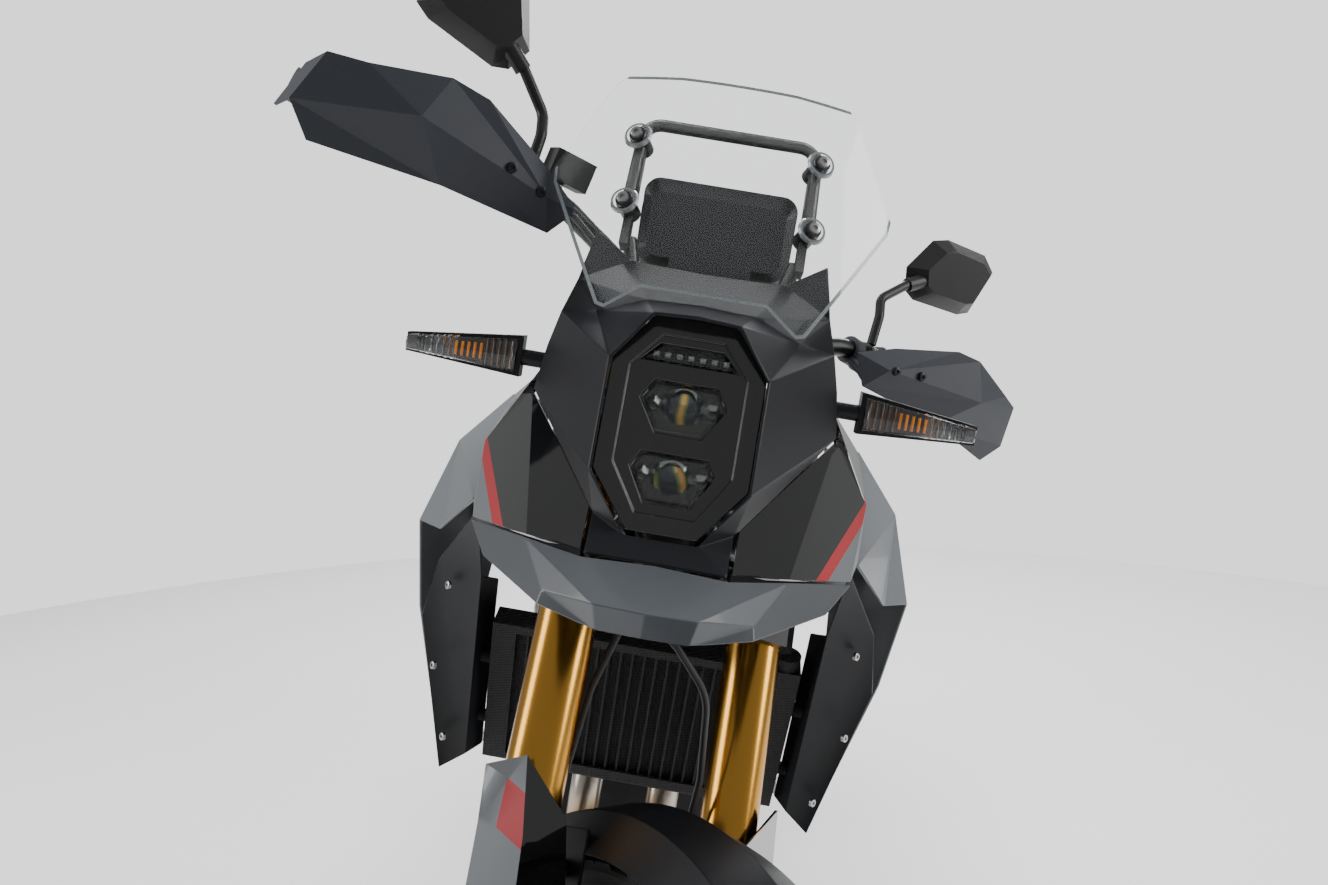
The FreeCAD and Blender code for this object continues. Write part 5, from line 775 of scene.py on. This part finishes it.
def two_tone(name, scale, dark, light, roughness, metallic=0.0, coat=0.0):
    """Smooth finish whose colour drifts between two near tones."""
    made, tree, shader = material(name)
    place = tree.nodes.new("ShaderNodeTexCoord")
    drift = tree.nodes.new("ShaderNodeTexNoise")
    drift.inputs["Scale"].default_value = scale
    tones = tree.nodes.new("ShaderNodeValToRGB")
    tones.color_ramp.elements[0].color = (*dark, 1)
    tones.color_ramp.elements[1].color = (*light, 1)
    tree.links.new(place.outputs["Object"], drift.inputs["Vector"])
    tree.links.new(drift.outputs["Fac"], tones.inputs["Fac"])
    tree.links.new(tones.outputs["Color"], shader.inputs["Base Color"])
    shader.inputs["Roughness"].default_value = roughness
    shader.inputs["Metallic"].default_value = metallic
    shader.inputs["Coat Weight"].default_value = coat
    return made


amber = two_tone("amber_bulb", 90, (0.55, 0.13, 0.005), (0.85, 0.30, 0.02), 0.12, coat=1)
eased("indicator_shells", "indicator_bodies", "chassis", "black_plastic", matt_black, width=1.6)

INDICATORS = [
    # inner end, outer end, half heights, facing along y
    ((167, -491, 1038), (271, -498, 1035), (18, 7.5), -1),
    ((96, 981, 852), (168, 985, 852), (13, 6.5), 1),
]
glass = bmesh.new()
bulbs = bmesh.new()
ribs = bmesh.new()
for inner, outer, halves, way in INDICATORS:
    for side in (-1, 1):
        ends = []
        for (x, y, z), half in ((inner, halves[0]), (outer, halves[1])):
            ends.append([glass.verts.new((side * x, y + way * depth, z + rise)) for depth, rise in
                         ((3.5, -half), (11.5, -half * 0.8), (13.5, 0), (11.5, half * 0.8), (3.5, half))])
        skin = [glass.faces.new(ends[0]), glass.faces.new(ends[1])]
        for k in range(5):
            skin.append(glass.faces.new((ends[0][k], ends[0][(k + 1) % 5], ends[1][(k + 1) % 5], ends[1][k])))
        bmesh.ops.recalc_face_normals(glass, faces=skin)
        for k in range(16):
            share = 0.05 + k * 0.056
            at = Vector(inner).lerp(Vector(outer), share)
            half = (halves[0] + (halves[1] - halves[0]) * share) * (0.5 if 5 <= k <= 9 else 0.74)
            bar = Matrix.Translation((side * at.x, at.y + way * 6, at.z))
            bar = bar @ Matrix.Diagonal((1.5, 1.6, half, 1))
            bmesh.ops.create_cone(bulbs if 5 <= k <= 9 else ribs, cap_ends=True, segments=8, radius1=1,
                                  radius2=1, depth=2, matrix=bar)
bmesh.ops.bevel(glass, geom=glass.edges[:], offset=0.9, offset_type="OFFSET", segments=2, profile=0.5,
                affect="EDGES", material=-1, clamp_overlap=True)
piece("indicator_lenses", glass, "chassis", "lamp_lens", clear_lens, smooth_below=25, home=LEANED)
piece("indicator_ribs", ribs, "chassis", "lamp_lens", reflector, home=LEANED)
piece("indicator_bulbs", bulbs, "chassis", "lamp_lens", amber, home=LEANED)


# Windscreen. Clear polycarbonate rolled to one curve, polished along its cut edge and
# held by four screws through clear washers. The cut edge, a band round the front face
# and the washers' rims are opaque grey: painted shade for the dark line a clear edge shows.

screen_clear = clear_moulding("clear_screen", (0.99, 0.995, 0.995), 0.995, ior=1.2)
# Opaque grey for the sheet's edge faces and front border: painted shade.
edge_shade_paint = two_tone("screen_edge_painted_shade", 500, (0.09, 0.10, 0.11), (0.24, 0.27, 0.28), 0.18, coat=1)


SCREEN_SWEEP = 280
SCREEN_SLOPE = 0.5


def through_sheet(x):
    """Way through the rolled sheet, from its front to its back."""
    return Vector((-x / SCREEN_SWEEP, 1, -SCREEN_SLOPE)).normalized()


# Edge faces take the second finish, the painted-shade grey.
def sheet_part(place, facing):
    return 1 if abs(facing.dot(through_sheet(place.x))) < 0.5 else 0


def sheet_front(place, facing):
    return facing.dot(through_sheet(place.x)) < -0.5


eased("screen_sheet", "windscreen", "chassis", "screen_clear", screen_clear, edge_shade_paint, width=0.4,
      paint=sheet_part,
      smooth_below=45, border=(sheet_front, 3.4))

SCREEN_SCREWS = [(side * 88, z) for side in (-1, 1) for z in (1197, 1262)]
WASHER_RIM = 2.2
washers = bmesh.new()
rows = []
for x, z in SCREEN_SCREWS:
    depth = sqrt(SCREEN_SWEEP * SCREEN_SWEEP - x * x)
    spot = Vector((x, -510 + (z - 1201) * SCREEN_SLOPE + SCREEN_SWEEP - depth, z))
    out = -Vector((-x / depth, 1, -SCREEN_SLOPE)).normalized()
    turn = out.to_track_quat("Z", "Y").to_matrix().to_4x4()
    bmesh.ops.create_cone(washers, cap_ends=True, segments=40, radius1=14, radius2=12.6, depth=3,
                          matrix=Matrix.Translation(spot + out * 1.9) @ turn)
    rows.append((*(spot + out * 4.3), *out))
# The washers' side faces and an inset rim on each flat take the painted-shade grey.
for face in washers.faces:
    face.material_index = int(len(face.verts) == 4)
flats = [face for face in washers.faces if len(face.verts) > 4]
for face in bmesh.ops.inset_individual(washers, faces=flats, thickness=WASHER_RIM)["faces"]:
    face.material_index = 1
piece("screen_washers", washers, "chassis", "screen_clear", clear_lens, edge_shade_paint, smooth_below=50,
      home=LEANED)
screw_heads("screen_screws", rows, 12, 4, zinc, LEANED, "chassis", "stand_paint")


# Instrument. Moulded hood round a flat display behind dark glass, with a row of tell-tale
# windows above it.

display_glass = finish("display_glass", (0.006, 0.008, 0.010), 0.06, coat=1, mottle=0.3, dust=0.0,
                       grain_scale=20, depth=0.00001)
display_grey = finish("display_field", (0.055, 0.060, 0.062), 0.25, coat=1, mottle=0.1, dust=0.0)
eased("instrument_hood", "instrument", "chassis", "black_plastic", matt_black, width=2.5)
bm = bmesh.new()
for z, tall, wide, y in ((1186, 66, 126, -411.6), (1180, 44, 104, -411.2)):
    plate = Matrix.Translation((0, y, z)) @ Matrix.Diagonal((wide, 0.8, tall, 1))
    bmesh.ops.create_cube(bm, size=1, matrix=plate)
corners = [edge for edge in bm.edges if abs((edge.verts[0].co - edge.verts[1].co).normalized().y) > 0.9]
bmesh.ops.bevel(bm, geom=corners, offset=6, offset_type="OFFSET", segments=4, profile=0.5, affect="EDGES",
                material=-1, clamp_overlap=True)
for face in bm.faces:
    face.material_index = 1 if face.calc_center_median().y > -410.9 and abs(face.normal.y) > 0.9 else 0
for i in range(6):
    window = Matrix.Translation((-40 + 16 * i, -411, 1211)) @ Matrix.Rotation(pi / 2, 4, "X")
    bmesh.ops.create_cone(bm, cap_ends=True, segments=10, radius1=2.6, radius2=2.6, depth=1, matrix=window)
piece("instrument_display", bm, "chassis", "black_plastic", display_glass, display_grey, home=LEANED)


# Tail lamp. Red lens over a row of bright diodes.

tail_red = finish("tail_lens", (0.26, 0.004, 0.004), 0.10, coat=1, dust=0, grain_scale=200, depth=0.00005)
eased("tail_lens", "tail_lamp", "chassis", "tail_lens", tail_red, width=2.5)
bm = bmesh.new()
for row in range(2):
    for i in range(9):
        diode = Matrix.Translation((-44 + 11 * i, 989.5, 890 + row * 8)) @ Matrix.Rotation(-pi / 2, 4, "X")
        bmesh.ops.create_cone(bm, cap_ends=True, segments=6, radius1=4.2, radius2=3.0, depth=1.2,
                              matrix=diode)
piece("tail_diodes", bm, "chassis", "tail_lens", tail_red, smooth_below=10, home=LEANED)


# Fork. Upside-down fork: gold anodised outer tubes over hard-chromed sliders, held by
# black clamps whose pinch screws face forward.

gold = finish("gold_anodising", (0.50, 0.255, 0.045), 0.2, metallic=1, mottle=0.04, smudge=0.05, dust=0,
              grain_scale=500,
              depth=0.00003, drawn=(1, 1, 0.1))
chrome = finish("hard_chrome", (0.6, 0.6, 0.62), 0.12, metallic=1, mottle=0.03, dust=0)
clamp_black = finish("black_anodising", (0.014, 0.014, 0.015), 0.32, metallic=0.6)
dress(gold, "fork_tubes")
dress(chrome, "fork_legs")
eased("clamps", "triple_clamps", "steering", "clamp_alloy", clamp_black, width=1.6, home=STEERED)
dress(clamp_black, "handlebar")


# Grips and bar controls. Ribbed rubber grips, satin plastic switch pods with their
# buttons, drawn black levers, and a smoked brake reservoir under a screwed lid.

grip_rubber = finish("grip_rubber", (0.010, 0.010, 0.010), 0.7, grain_scale=700, depth=0.0003)
switch_black = finish("switch_plastic", (0.010, 0.010, 0.011), 0.38, grain_scale=1300, depth=0.00008,
                      shine=0.4)
lever_black = finish("lever_lacquer", (0.010, 0.010, 0.011), 0.2, coat=0.6)
reservoir = finish("smoked_reservoir", (0.007, 0.007, 0.008), 0.3, coat=0.3, mottle=0.3, grain_scale=60,
                   depth=0.00001)

BAR_INNER = Vector((196, -302, 1144))
BAR_OUTER = Vector((440, -238, 1136))
GRIP_START = 292


def on_bar(x, side=1):
    """Point on the bar's straight outer stretch."""
    place = BAR_INNER.lerp(BAR_OUTER, (x - BAR_INNER.x) / (BAR_OUTER.x - BAR_INNER.x))
    return Vector((side * place.x, place.y, place.z))


bm = bmesh.new()
for side in (-1, 1):
    root = on_bar(GRIP_START, side)
    along = (on_bar(BAR_OUTER.x, side) - root).normalized()
    at = Matrix.Translation(root) @ along.to_track_quat("X", "Z").to_matrix().to_4x4()
    section = [(0, 12.2), (0, 22), (1, 23), (4, 23), (6, 19), (9, 17)]
    for i in range(20):
        section += [(12 + 6 * i, 17), (13 + 6 * i, 17.6), (15 + 6 * i, 17.6), (16 + 6 * i, 16.7)]
    section += [(133, 18.5), (136, 18.5), (137, 17), (137, 12.2)]
    points = [bm.verts.new(at @ Vector((x, r, 0))) for x, r in section]
    outline = [bm.edges.new(pair) for pair in zip(points, points[1:] + points[:1])]
    bmesh.ops.spin(bm, geom=points + outline, cent=root, axis=along, angle=2 * pi, steps=32, use_merge=True)
bmesh.ops.remove_doubles(bm, verts=bm.verts, dist=0.001)
bmesh.ops.recalc_face_normals(bm, faces=bm.faces)
ribbed = piece("ribbed_grips", bm, "steering", "grip_rubber", grip_rubber, smooth_below=50, home=STEERED)
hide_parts("grips")


def control_part(place, facing):
    """Reservoir on the right bar, levers in front of the bar, pods round it."""
    if -238 < place.x < -186 and place.z > 1158 and place.y < -300:
        return 0 if place.z > 1186 else 2
    reach = on_bar(abs(place.x)).y - place.y
    return 1 if reach > 30 else 0


eased("switches_and_levers", "bar_controls", "steering", "control_black", switch_black, lever_black,
      reservoir,
      width=1.2, paint=control_part, home=STEERED)
POD_R = 24.5
BUTTONS = [
    # along the bar, angle above the rearward line, radius
    (268, 40, 5),
    (280, 40, 4),
    (268, 75, 4.5),
    (280, 75, 4.5),
    (274, 5, 6),
]
bm = bmesh.new()
for side in (-1, 1):
    for x, angle, radius in BUTTONS:
        out = Vector((0, *direction(radians(angle))))
        turn = out.to_track_quat("Z", "Y").to_matrix().to_4x4()
        at = Matrix.Translation(on_bar(x, side) + out * POD_R) @ turn
        bmesh.ops.create_cone(bm, cap_ends=True, segments=14, radius1=radius, radius2=radius * 0.85, depth=4,
                              matrix=at)
piece("switch_buttons", bm, "steering", "control_black", panel_grey, smooth_below=50, home=STEERED)
screw_heads("reservoir_screws", [(x, -321, 1190, 0, 0, 1) for x in (-200, -224)], 6, 2, zinc, STEERED,
            "steering", "stand_paint")


# Hand guards. Textured dark grey mouldings, creased along a ridge, held to the bar by two
# screws on each inner arm.

guard_grey = finish("hand_guard_plastic", (0.030, 0.033, 0.041), 0.5, grain_scale=1100, depth=0.00022,
                    dust=0.02, shine=0.35)
eased("hand_guard_shells", "handguards", "steering", "guard_plastic", guard_grey, width=4, home=STEERED,
      smooth_below=7)
GUARD_SCREWS = ((240, -356, 1140), (276, -358, 1148))
rows = [(side * x, y, z, 0, -1, 0.12) for side in (-1, 1) for x, y, z in GUARD_SCREWS]
screw_heads("guard_screws", rows, 11, 3, clamp_black, STEERED, "steering", "stand_paint")


# Mirrors. Black shells on bent stalks; the glass is silvered and set a little into its
# shell, facing the rider.

silvered = two_tone("silvered_glass", 3, (0.80, 0.84, 0.86), (0.86, 0.89, 0.90), 0.02, metallic=1)
eased("mirror_shells", "mirrors", "steering", "mirror_black", switch_black, width=5, home=STEERED,
      smooth_below=24)
MIRROR_MIDDLE = (341, 1295)
MIRROR_Y = -240
MIRROR_EDGE = [
    # x, z
    (275, 1277), (296, 1323), (318, 1334), (383, 1341), (407, 1327), (397, 1264), (381, 1255), (305, 1244),
    (288, 1250),
]
GLASS_SHARE = (0.93, 0.92)
bm = bmesh.new()
for side in (-1, 1):
    ring = []
    for x, z in MIRROR_EDGE:
        across = MIRROR_MIDDLE[0] + (x - MIRROR_MIDDLE[0]) * GLASS_SHARE[0]
        height = MIRROR_MIDDLE[1] + (z - MIRROR_MIDDLE[1]) * GLASS_SHARE[1]
        ring.append(bm.verts.new((side * across, MIRROR_Y, height)))
    bm.faces.new(ring)
pushed = bmesh.ops.extrude_face_region(bm, geom=bm.faces[:])["geom"]
back = [item for item in pushed if isinstance(item, bmesh.types.BMVert)]
bmesh.ops.translate(bm, vec=(0, 0.9, 0), verts=back)
bmesh.ops.recalc_face_normals(bm, faces=bm.faces)
piece("mirror_glass", bm, "steering", "mirror_black", silvered, smooth_below=20, home=STEERED)


# Front mudguard and fork guards. Matt black mudguard close over the tyre; the fork guards
# are grey outside and gloss black inside their ridge, with a plain red flash at the top.

eased("mudguard_shell", "front_mudguard", "steering", "black_plastic", matt_black, width=1.2, home=STEERED,
      smooth_below=24)


FLASH_X = (126, 143)
FLASH_Z = (632, 668)


def fork_guard_colour(place, facing):
    out = 1 if place.x > 0 else -1
    if facing.x * out < 0.25 or facing.y > 0.2:
        return 0
    return 2 if FLASH_X[0] < abs(place.x) < FLASH_X[1] and FLASH_Z[0] < place.z < FLASH_Z[1] else 1


flash_cuts = [((x, 0, 0), (1, 0, 0)) for x in (-FLASH_X[1], -FLASH_X[0], *FLASH_X)]
flash_cuts += [((0, 0, z), (0, 0, 1)) for z in FLASH_Z]
eased("fork_guard_shells", "fork_guards", "steering", "black_plastic", gloss_black, panel_grey, stripe_red,
      width=1.2, cuts=flash_cuts, paint=fork_guard_colour, home=STEERED)


# Brakes. Four-piston calipers in black anodising with their bridge screws, and ground
# steel discs drilled in two rows.

caliper_black = finish("caliper_anodising", (0.022, 0.022, 0.024), 0.34, metallic=0.6, grain_scale=900,
                       depth=0.0002)
ground_steel = finish("ground_steel", (0.42, 0.42, 0.43), 0.26, metallic=1, grain_scale=300, depth=0.00008,
                      drawn=(0.1, 3, 3))
eased("front_caliper_bodies", "front_calipers", "steering", "caliper_alloy", caliper_black, width=1.5,
      home=STEERED)
eased("rear_caliper_body", "rear_caliper", "chassis", "caliper_alloy", caliper_black, width=1.5)
dress(ground_steel, "front_discs", "rear_disc")


# Wheels. Black spoked rims with tubeless road-and-trail tyres, whose blocks stand in
# slanting rows between sipes.

rim_black = finish("rim_anodising", (0.012, 0.012, 0.013), 0.3, metallic=0.6)
tyre_rubber = finish("tyre_rubber", (0.013, 0.013, 0.013), 0.72, mottle=0.3, dust=0.05, grain_scale=350,
                     depth=0.0003, shine=0.3)
dress(rim_black, "front_rim", "rear_rim")


GROOVE = 5.5


def treaded_tyre(name, source, body, home, y, radius, half, crown, bead_r, rim_half, steps, columns, slant):
    """Tyre spun from its section, its crown faces raised into blocks up to the full radius."""
    drop = crown - sqrt(crown * crown - half * half)
    foot_x, foot_r = rim_half - 0.3, bead_r + 15
    shares = [k / columns for k in range(columns + 1)]
    section = []
    for share in shares:
        section.append((half * share, radius - GROOVE - crown + sqrt(crown * crown - (half * share) ** 2)))
    shoulder_r = radius - drop
    bulge = (half + rim_half) / 2 + 4
    section += [
        (half - 0.6, shoulder_r - GROOVE - 3.5), (bulge + 1.5, (shoulder_r * 2 + foot_r) / 3),
        (bulge, (shoulder_r + foot_r) / 2), (bulge - 4, (shoulder_r + foot_r * 2) / 3 - 2),
        (foot_x + 0.5, foot_r + 4), (foot_x, foot_r), (foot_x, bead_r + 0.3),
    ]
    section = [(-x, r) for x, r in reversed(section[1:])] + section
    bm = bmesh.new()
    points = [bm.verts.new((x, 0, r)) for x, r in section]
    edges = [bm.edges.new(pair) for pair in zip(points, points[1:] + points[:1])]
    bmesh.ops.spin(bm, geom=points + edges, cent=(0, 0, 0), axis=(1, 0, 0), angle=2 * pi, steps=steps,
                   use_merge=True)
    bmesh.ops.remove_doubles(bm, verts=bm.verts, dist=0.001)
    bmesh.ops.recalc_face_normals(bm, faces=bm.faces)
    blocks = []
    for face in bm.faces:
        middle = face.calc_center_median()
        reach = sqrt(middle.y ** 2 + middle.z ** 2)
        if abs(middle.x) > half or reach < shoulder_r - GROOVE - 1:
            continue
        column = int(abs(middle.x) / half * columns)
        turn = int((atan2(middle.y, middle.z) / (2 * pi) % 1) * steps)
        shift = turn + (2 * column if middle.x > 0 else 2 * column + 1)
        if column == columns - 1 and shift % 3 == 0:
            continue
        if 0 < column < columns - 1 and shift % 5 == 0:
            continue
        blocks.append(face)
    bmesh.ops.inset_individual(bm, faces=blocks, thickness=1.3, depth=GROOVE, use_even_offset=True)
    for vert in bm.verts:
        reach = sqrt(vert.co.y ** 2 + vert.co.z ** 2)
        if reach > shoulder_r - GROOVE - 4:
            vert.co = Matrix.Rotation(slant * abs(vert.co.x) / half / steps * 2 * pi, 3, "X") @ vert.co
    for vert in bm.verts:
        reach = sqrt(vert.co.y ** 2 + vert.co.z ** 2)
        limit = radius - crown + sqrt(max(crown * crown - min(abs(vert.co.x), half) ** 2, 0)) - 0.1
        if reach > limit and abs(vert.co.x) <= half:
            vert.co.y, vert.co.z = vert.co.y * limit / reach, vert.co.z * limit / reach
    bmesh.ops.translate(bm, vec=(0, y, radius), verts=bm.verts)
    new = piece(name, bm, body, "tyre_rubber", tyre_rubber, smooth_below=35, home=home)
    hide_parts(source)


treaded_tyre("front_tread", "front_tyre", "front_wheel", STEERED, y=-785, radius=347.5, half=46, crown=50,
             bead_r=266.7, rim_half=27.5, steps=72, columns=4, slant=1.2)
treaded_tyre("rear_tread", "rear_tyre", "rear_wheel", LEANED, y=785, radius=321, half=73.8, crown=82,
             bead_r=215.9, rim_half=51, steps=64, columns=5, slant=1.6)


# Seats. Foam pads under a grained cover, swelled by cloth pressure over their base pans;
# two sewn channels run from front to back, with a row of stitches outside each.

leather, tree, shader = material("seat_leather")
place = tree.nodes.new("ShaderNodeTexCoord")
cells = tree.nodes.new("ShaderNodeTexVoronoi")
cells.inputs["Scale"].default_value = 420
cells.feature = "F1"
creases = tree.nodes.new("ShaderNodeTexNoise")
creases.inputs["Scale"].default_value = 24
creases.inputs["Detail"].default_value = 6
shine = tree.nodes.new("ShaderNodeMapRange")
shine.inputs["To Min"].default_value = 0.5
shine.inputs["To Max"].default_value = 0.68
tone = tree.nodes.new("ShaderNodeValToRGB")
tone.color_ramp.elements[0].color = (0.008, 0.008, 0.009, 1)
tone.color_ramp.elements[1].color = (0.018, 0.018, 0.020, 1)
bump = tree.nodes.new("ShaderNodeBump")
bump.inputs["Strength"].default_value = 0.6
bump.inputs["Distance"].default_value = 0.0006
for texture in (cells, creases):
    tree.links.new(place.outputs["Object"], texture.inputs["Vector"])
tree.links.new(cells.outputs["Distance"], bump.inputs["Height"])
tree.links.new(creases.outputs["Fac"], shine.inputs["Value"])
tree.links.new(creases.outputs["Fac"], tone.inputs["Fac"])
tree.links.new(tone.outputs["Color"], shader.inputs["Base Color"])
tree.links.new(shine.outputs["Result"], shader.inputs["Roughness"])
tree.links.new(bump.outputs["Normal"], shader.inputs["Normal"])
thread = finish("seat_thread", (0.05, 0.05, 0.052), 0.6, mottle=0.3, grain_scale=2500, depth=0.0003)

SEATS = [
    # name, node, seam from (x, y) to (x, y) in the upright frame
    ("rider_pad", "rider_seat", (62, 110), (118, 440)),
    ("pillion_pad", "pillion_seat", (94, 450), (72, 755)),
]
FOAM_TAKEN_IN = 0.004
MOST_SWELL = 0.009
SEAM_DEPTH = 0.003
STITCH_PITCH = 7
for name, source, seam_from, seam_to in SEATS:
    shape = bmesh.new()
    shape.from_mesh(nodes[source].data)
    bmesh.ops.remove_doubles(shape, verts=shape.verts, dist=0.00002)
    mesh = bpy.data.meshes.new(name)
    shape.to_mesh(mesh)
    shape.free()
    pad = bpy.data.objects.new(name, mesh)
    scene.collection.objects.link(pad)
    remesh = pad.modifiers.new("voxels", "REMESH")
    remesh.mode = "VOXEL"
    remesh.voxel_size = 0.005
    even = bpy.data.meshes.new_from_object(pad.evaluated_get(bpy.context.evaluated_depsgraph_get()))
    pad.modifiers.remove(remesh)
    pad.data = even
    base = pad.vertex_groups.new(name="base")
    start = []
    for vert in even.vertices:
        if vert.normal.z < -0.6:
            base.add([vert.index], 1.0, "REPLACE")
        else:
            vert.co -= vert.normal * FOAM_TAKEN_IN
        start.append(vert.co.copy())
    cloth = pad.modifiers.new("swell", "CLOTH")
    cloth.settings.quality = 4
    cloth.settings.mass = 0.4
    cloth.settings.tension_stiffness = 12
    cloth.settings.compression_stiffness = 12
    cloth.settings.bending_stiffness = 1.5
    cloth.settings.use_pressure = True
    cloth.settings.uniform_pressure_force = 4
    cloth.settings.effector_weights.gravity = 0
    cloth.settings.vertex_group_mass = "base"
    cloth.collision_settings.use_collision = False
    for step in range(1, 21):
        scene.frame_set(step)
    swelled = bpy.data.meshes.new_from_object(pad.evaluated_get(bpy.context.evaluated_depsgraph_get()))
    pad.modifiers.remove(cloth)
    scene.frame_set(1)
    for vert, was in zip(swelled.vertices, start):
        moved = vert.co - was
        if moved.length > MOST_SWELL:
            vert.co = was + moved.normalized() * MOST_SWELL
    pad.data = swelled
    finer = pad.modifiers.new("finer", "SUBSURF")
    finer.levels = finer.render_levels = 1
    final = bpy.data.meshes.new_from_object(pad.evaluated_get(bpy.context.evaluated_depsgraph_get()))
    pad.modifiers.remove(finer)
    pad.data = final
    final.name = name
    home = LEANED.inverted()
    seam = Vector(seam_to) - Vector(seam_from)
    run_of = seam.normalized()
    square = Vector((run_of.y, -run_of.x))
    for vert in final.vertices:
        place = home @ vert.co * 1000
        off = (Vector((abs(place.x), place.y)) - Vector(seam_from)).dot(square)
        if abs(off) < 9 and vert.normal.z > 0.2:
            vert.co -= vert.normal * (SEAM_DEPTH * exp(-(off / 2.6) ** 2))
    pad.data.materials.clear()
    pad.data.materials.append(leather)
    for face in final.polygons:
        face.use_smooth = True
    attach(pad, "chassis")
    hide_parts(source)
    stitches = bmesh.new()
    for side in (-1, 1):
        for k in range(int(seam.length / STITCH_PITCH)):
            spot = Vector(seam_from) + run_of * (STITCH_PITCH * (k + 0.5)) + square * 5
            above = LEANED @ (Vector((side * spot.x, spot.y, 1100)) / 1000)
            down = (LEANED.to_3x3() @ Vector((0, 0, -1))).normalized()
            hit, where, normal, _ = pad.ray_cast(above, down)
            if not hit or normal.z < 0.3:
                continue
            ahead = (LEANED.to_3x3() @ Vector((side * run_of.x, run_of.y, 0))).normalized()
            across = normal.cross(ahead).normalized()
            turn = Matrix((across, ahead, normal)).transposed().to_4x4()
            at = Matrix.Translation(where + normal * 0.0004) @ turn @ Matrix.Rotation(pi / 2, 4, "X")
            bmesh.ops.create_cone(stitches, cap_ends=True, segments=6, radius1=0.0008, radius2=0.0008,
                                  depth=0.0048, matrix=at)
    piece(name + "_stitches", stitches, "chassis", "seat_cover", thread)
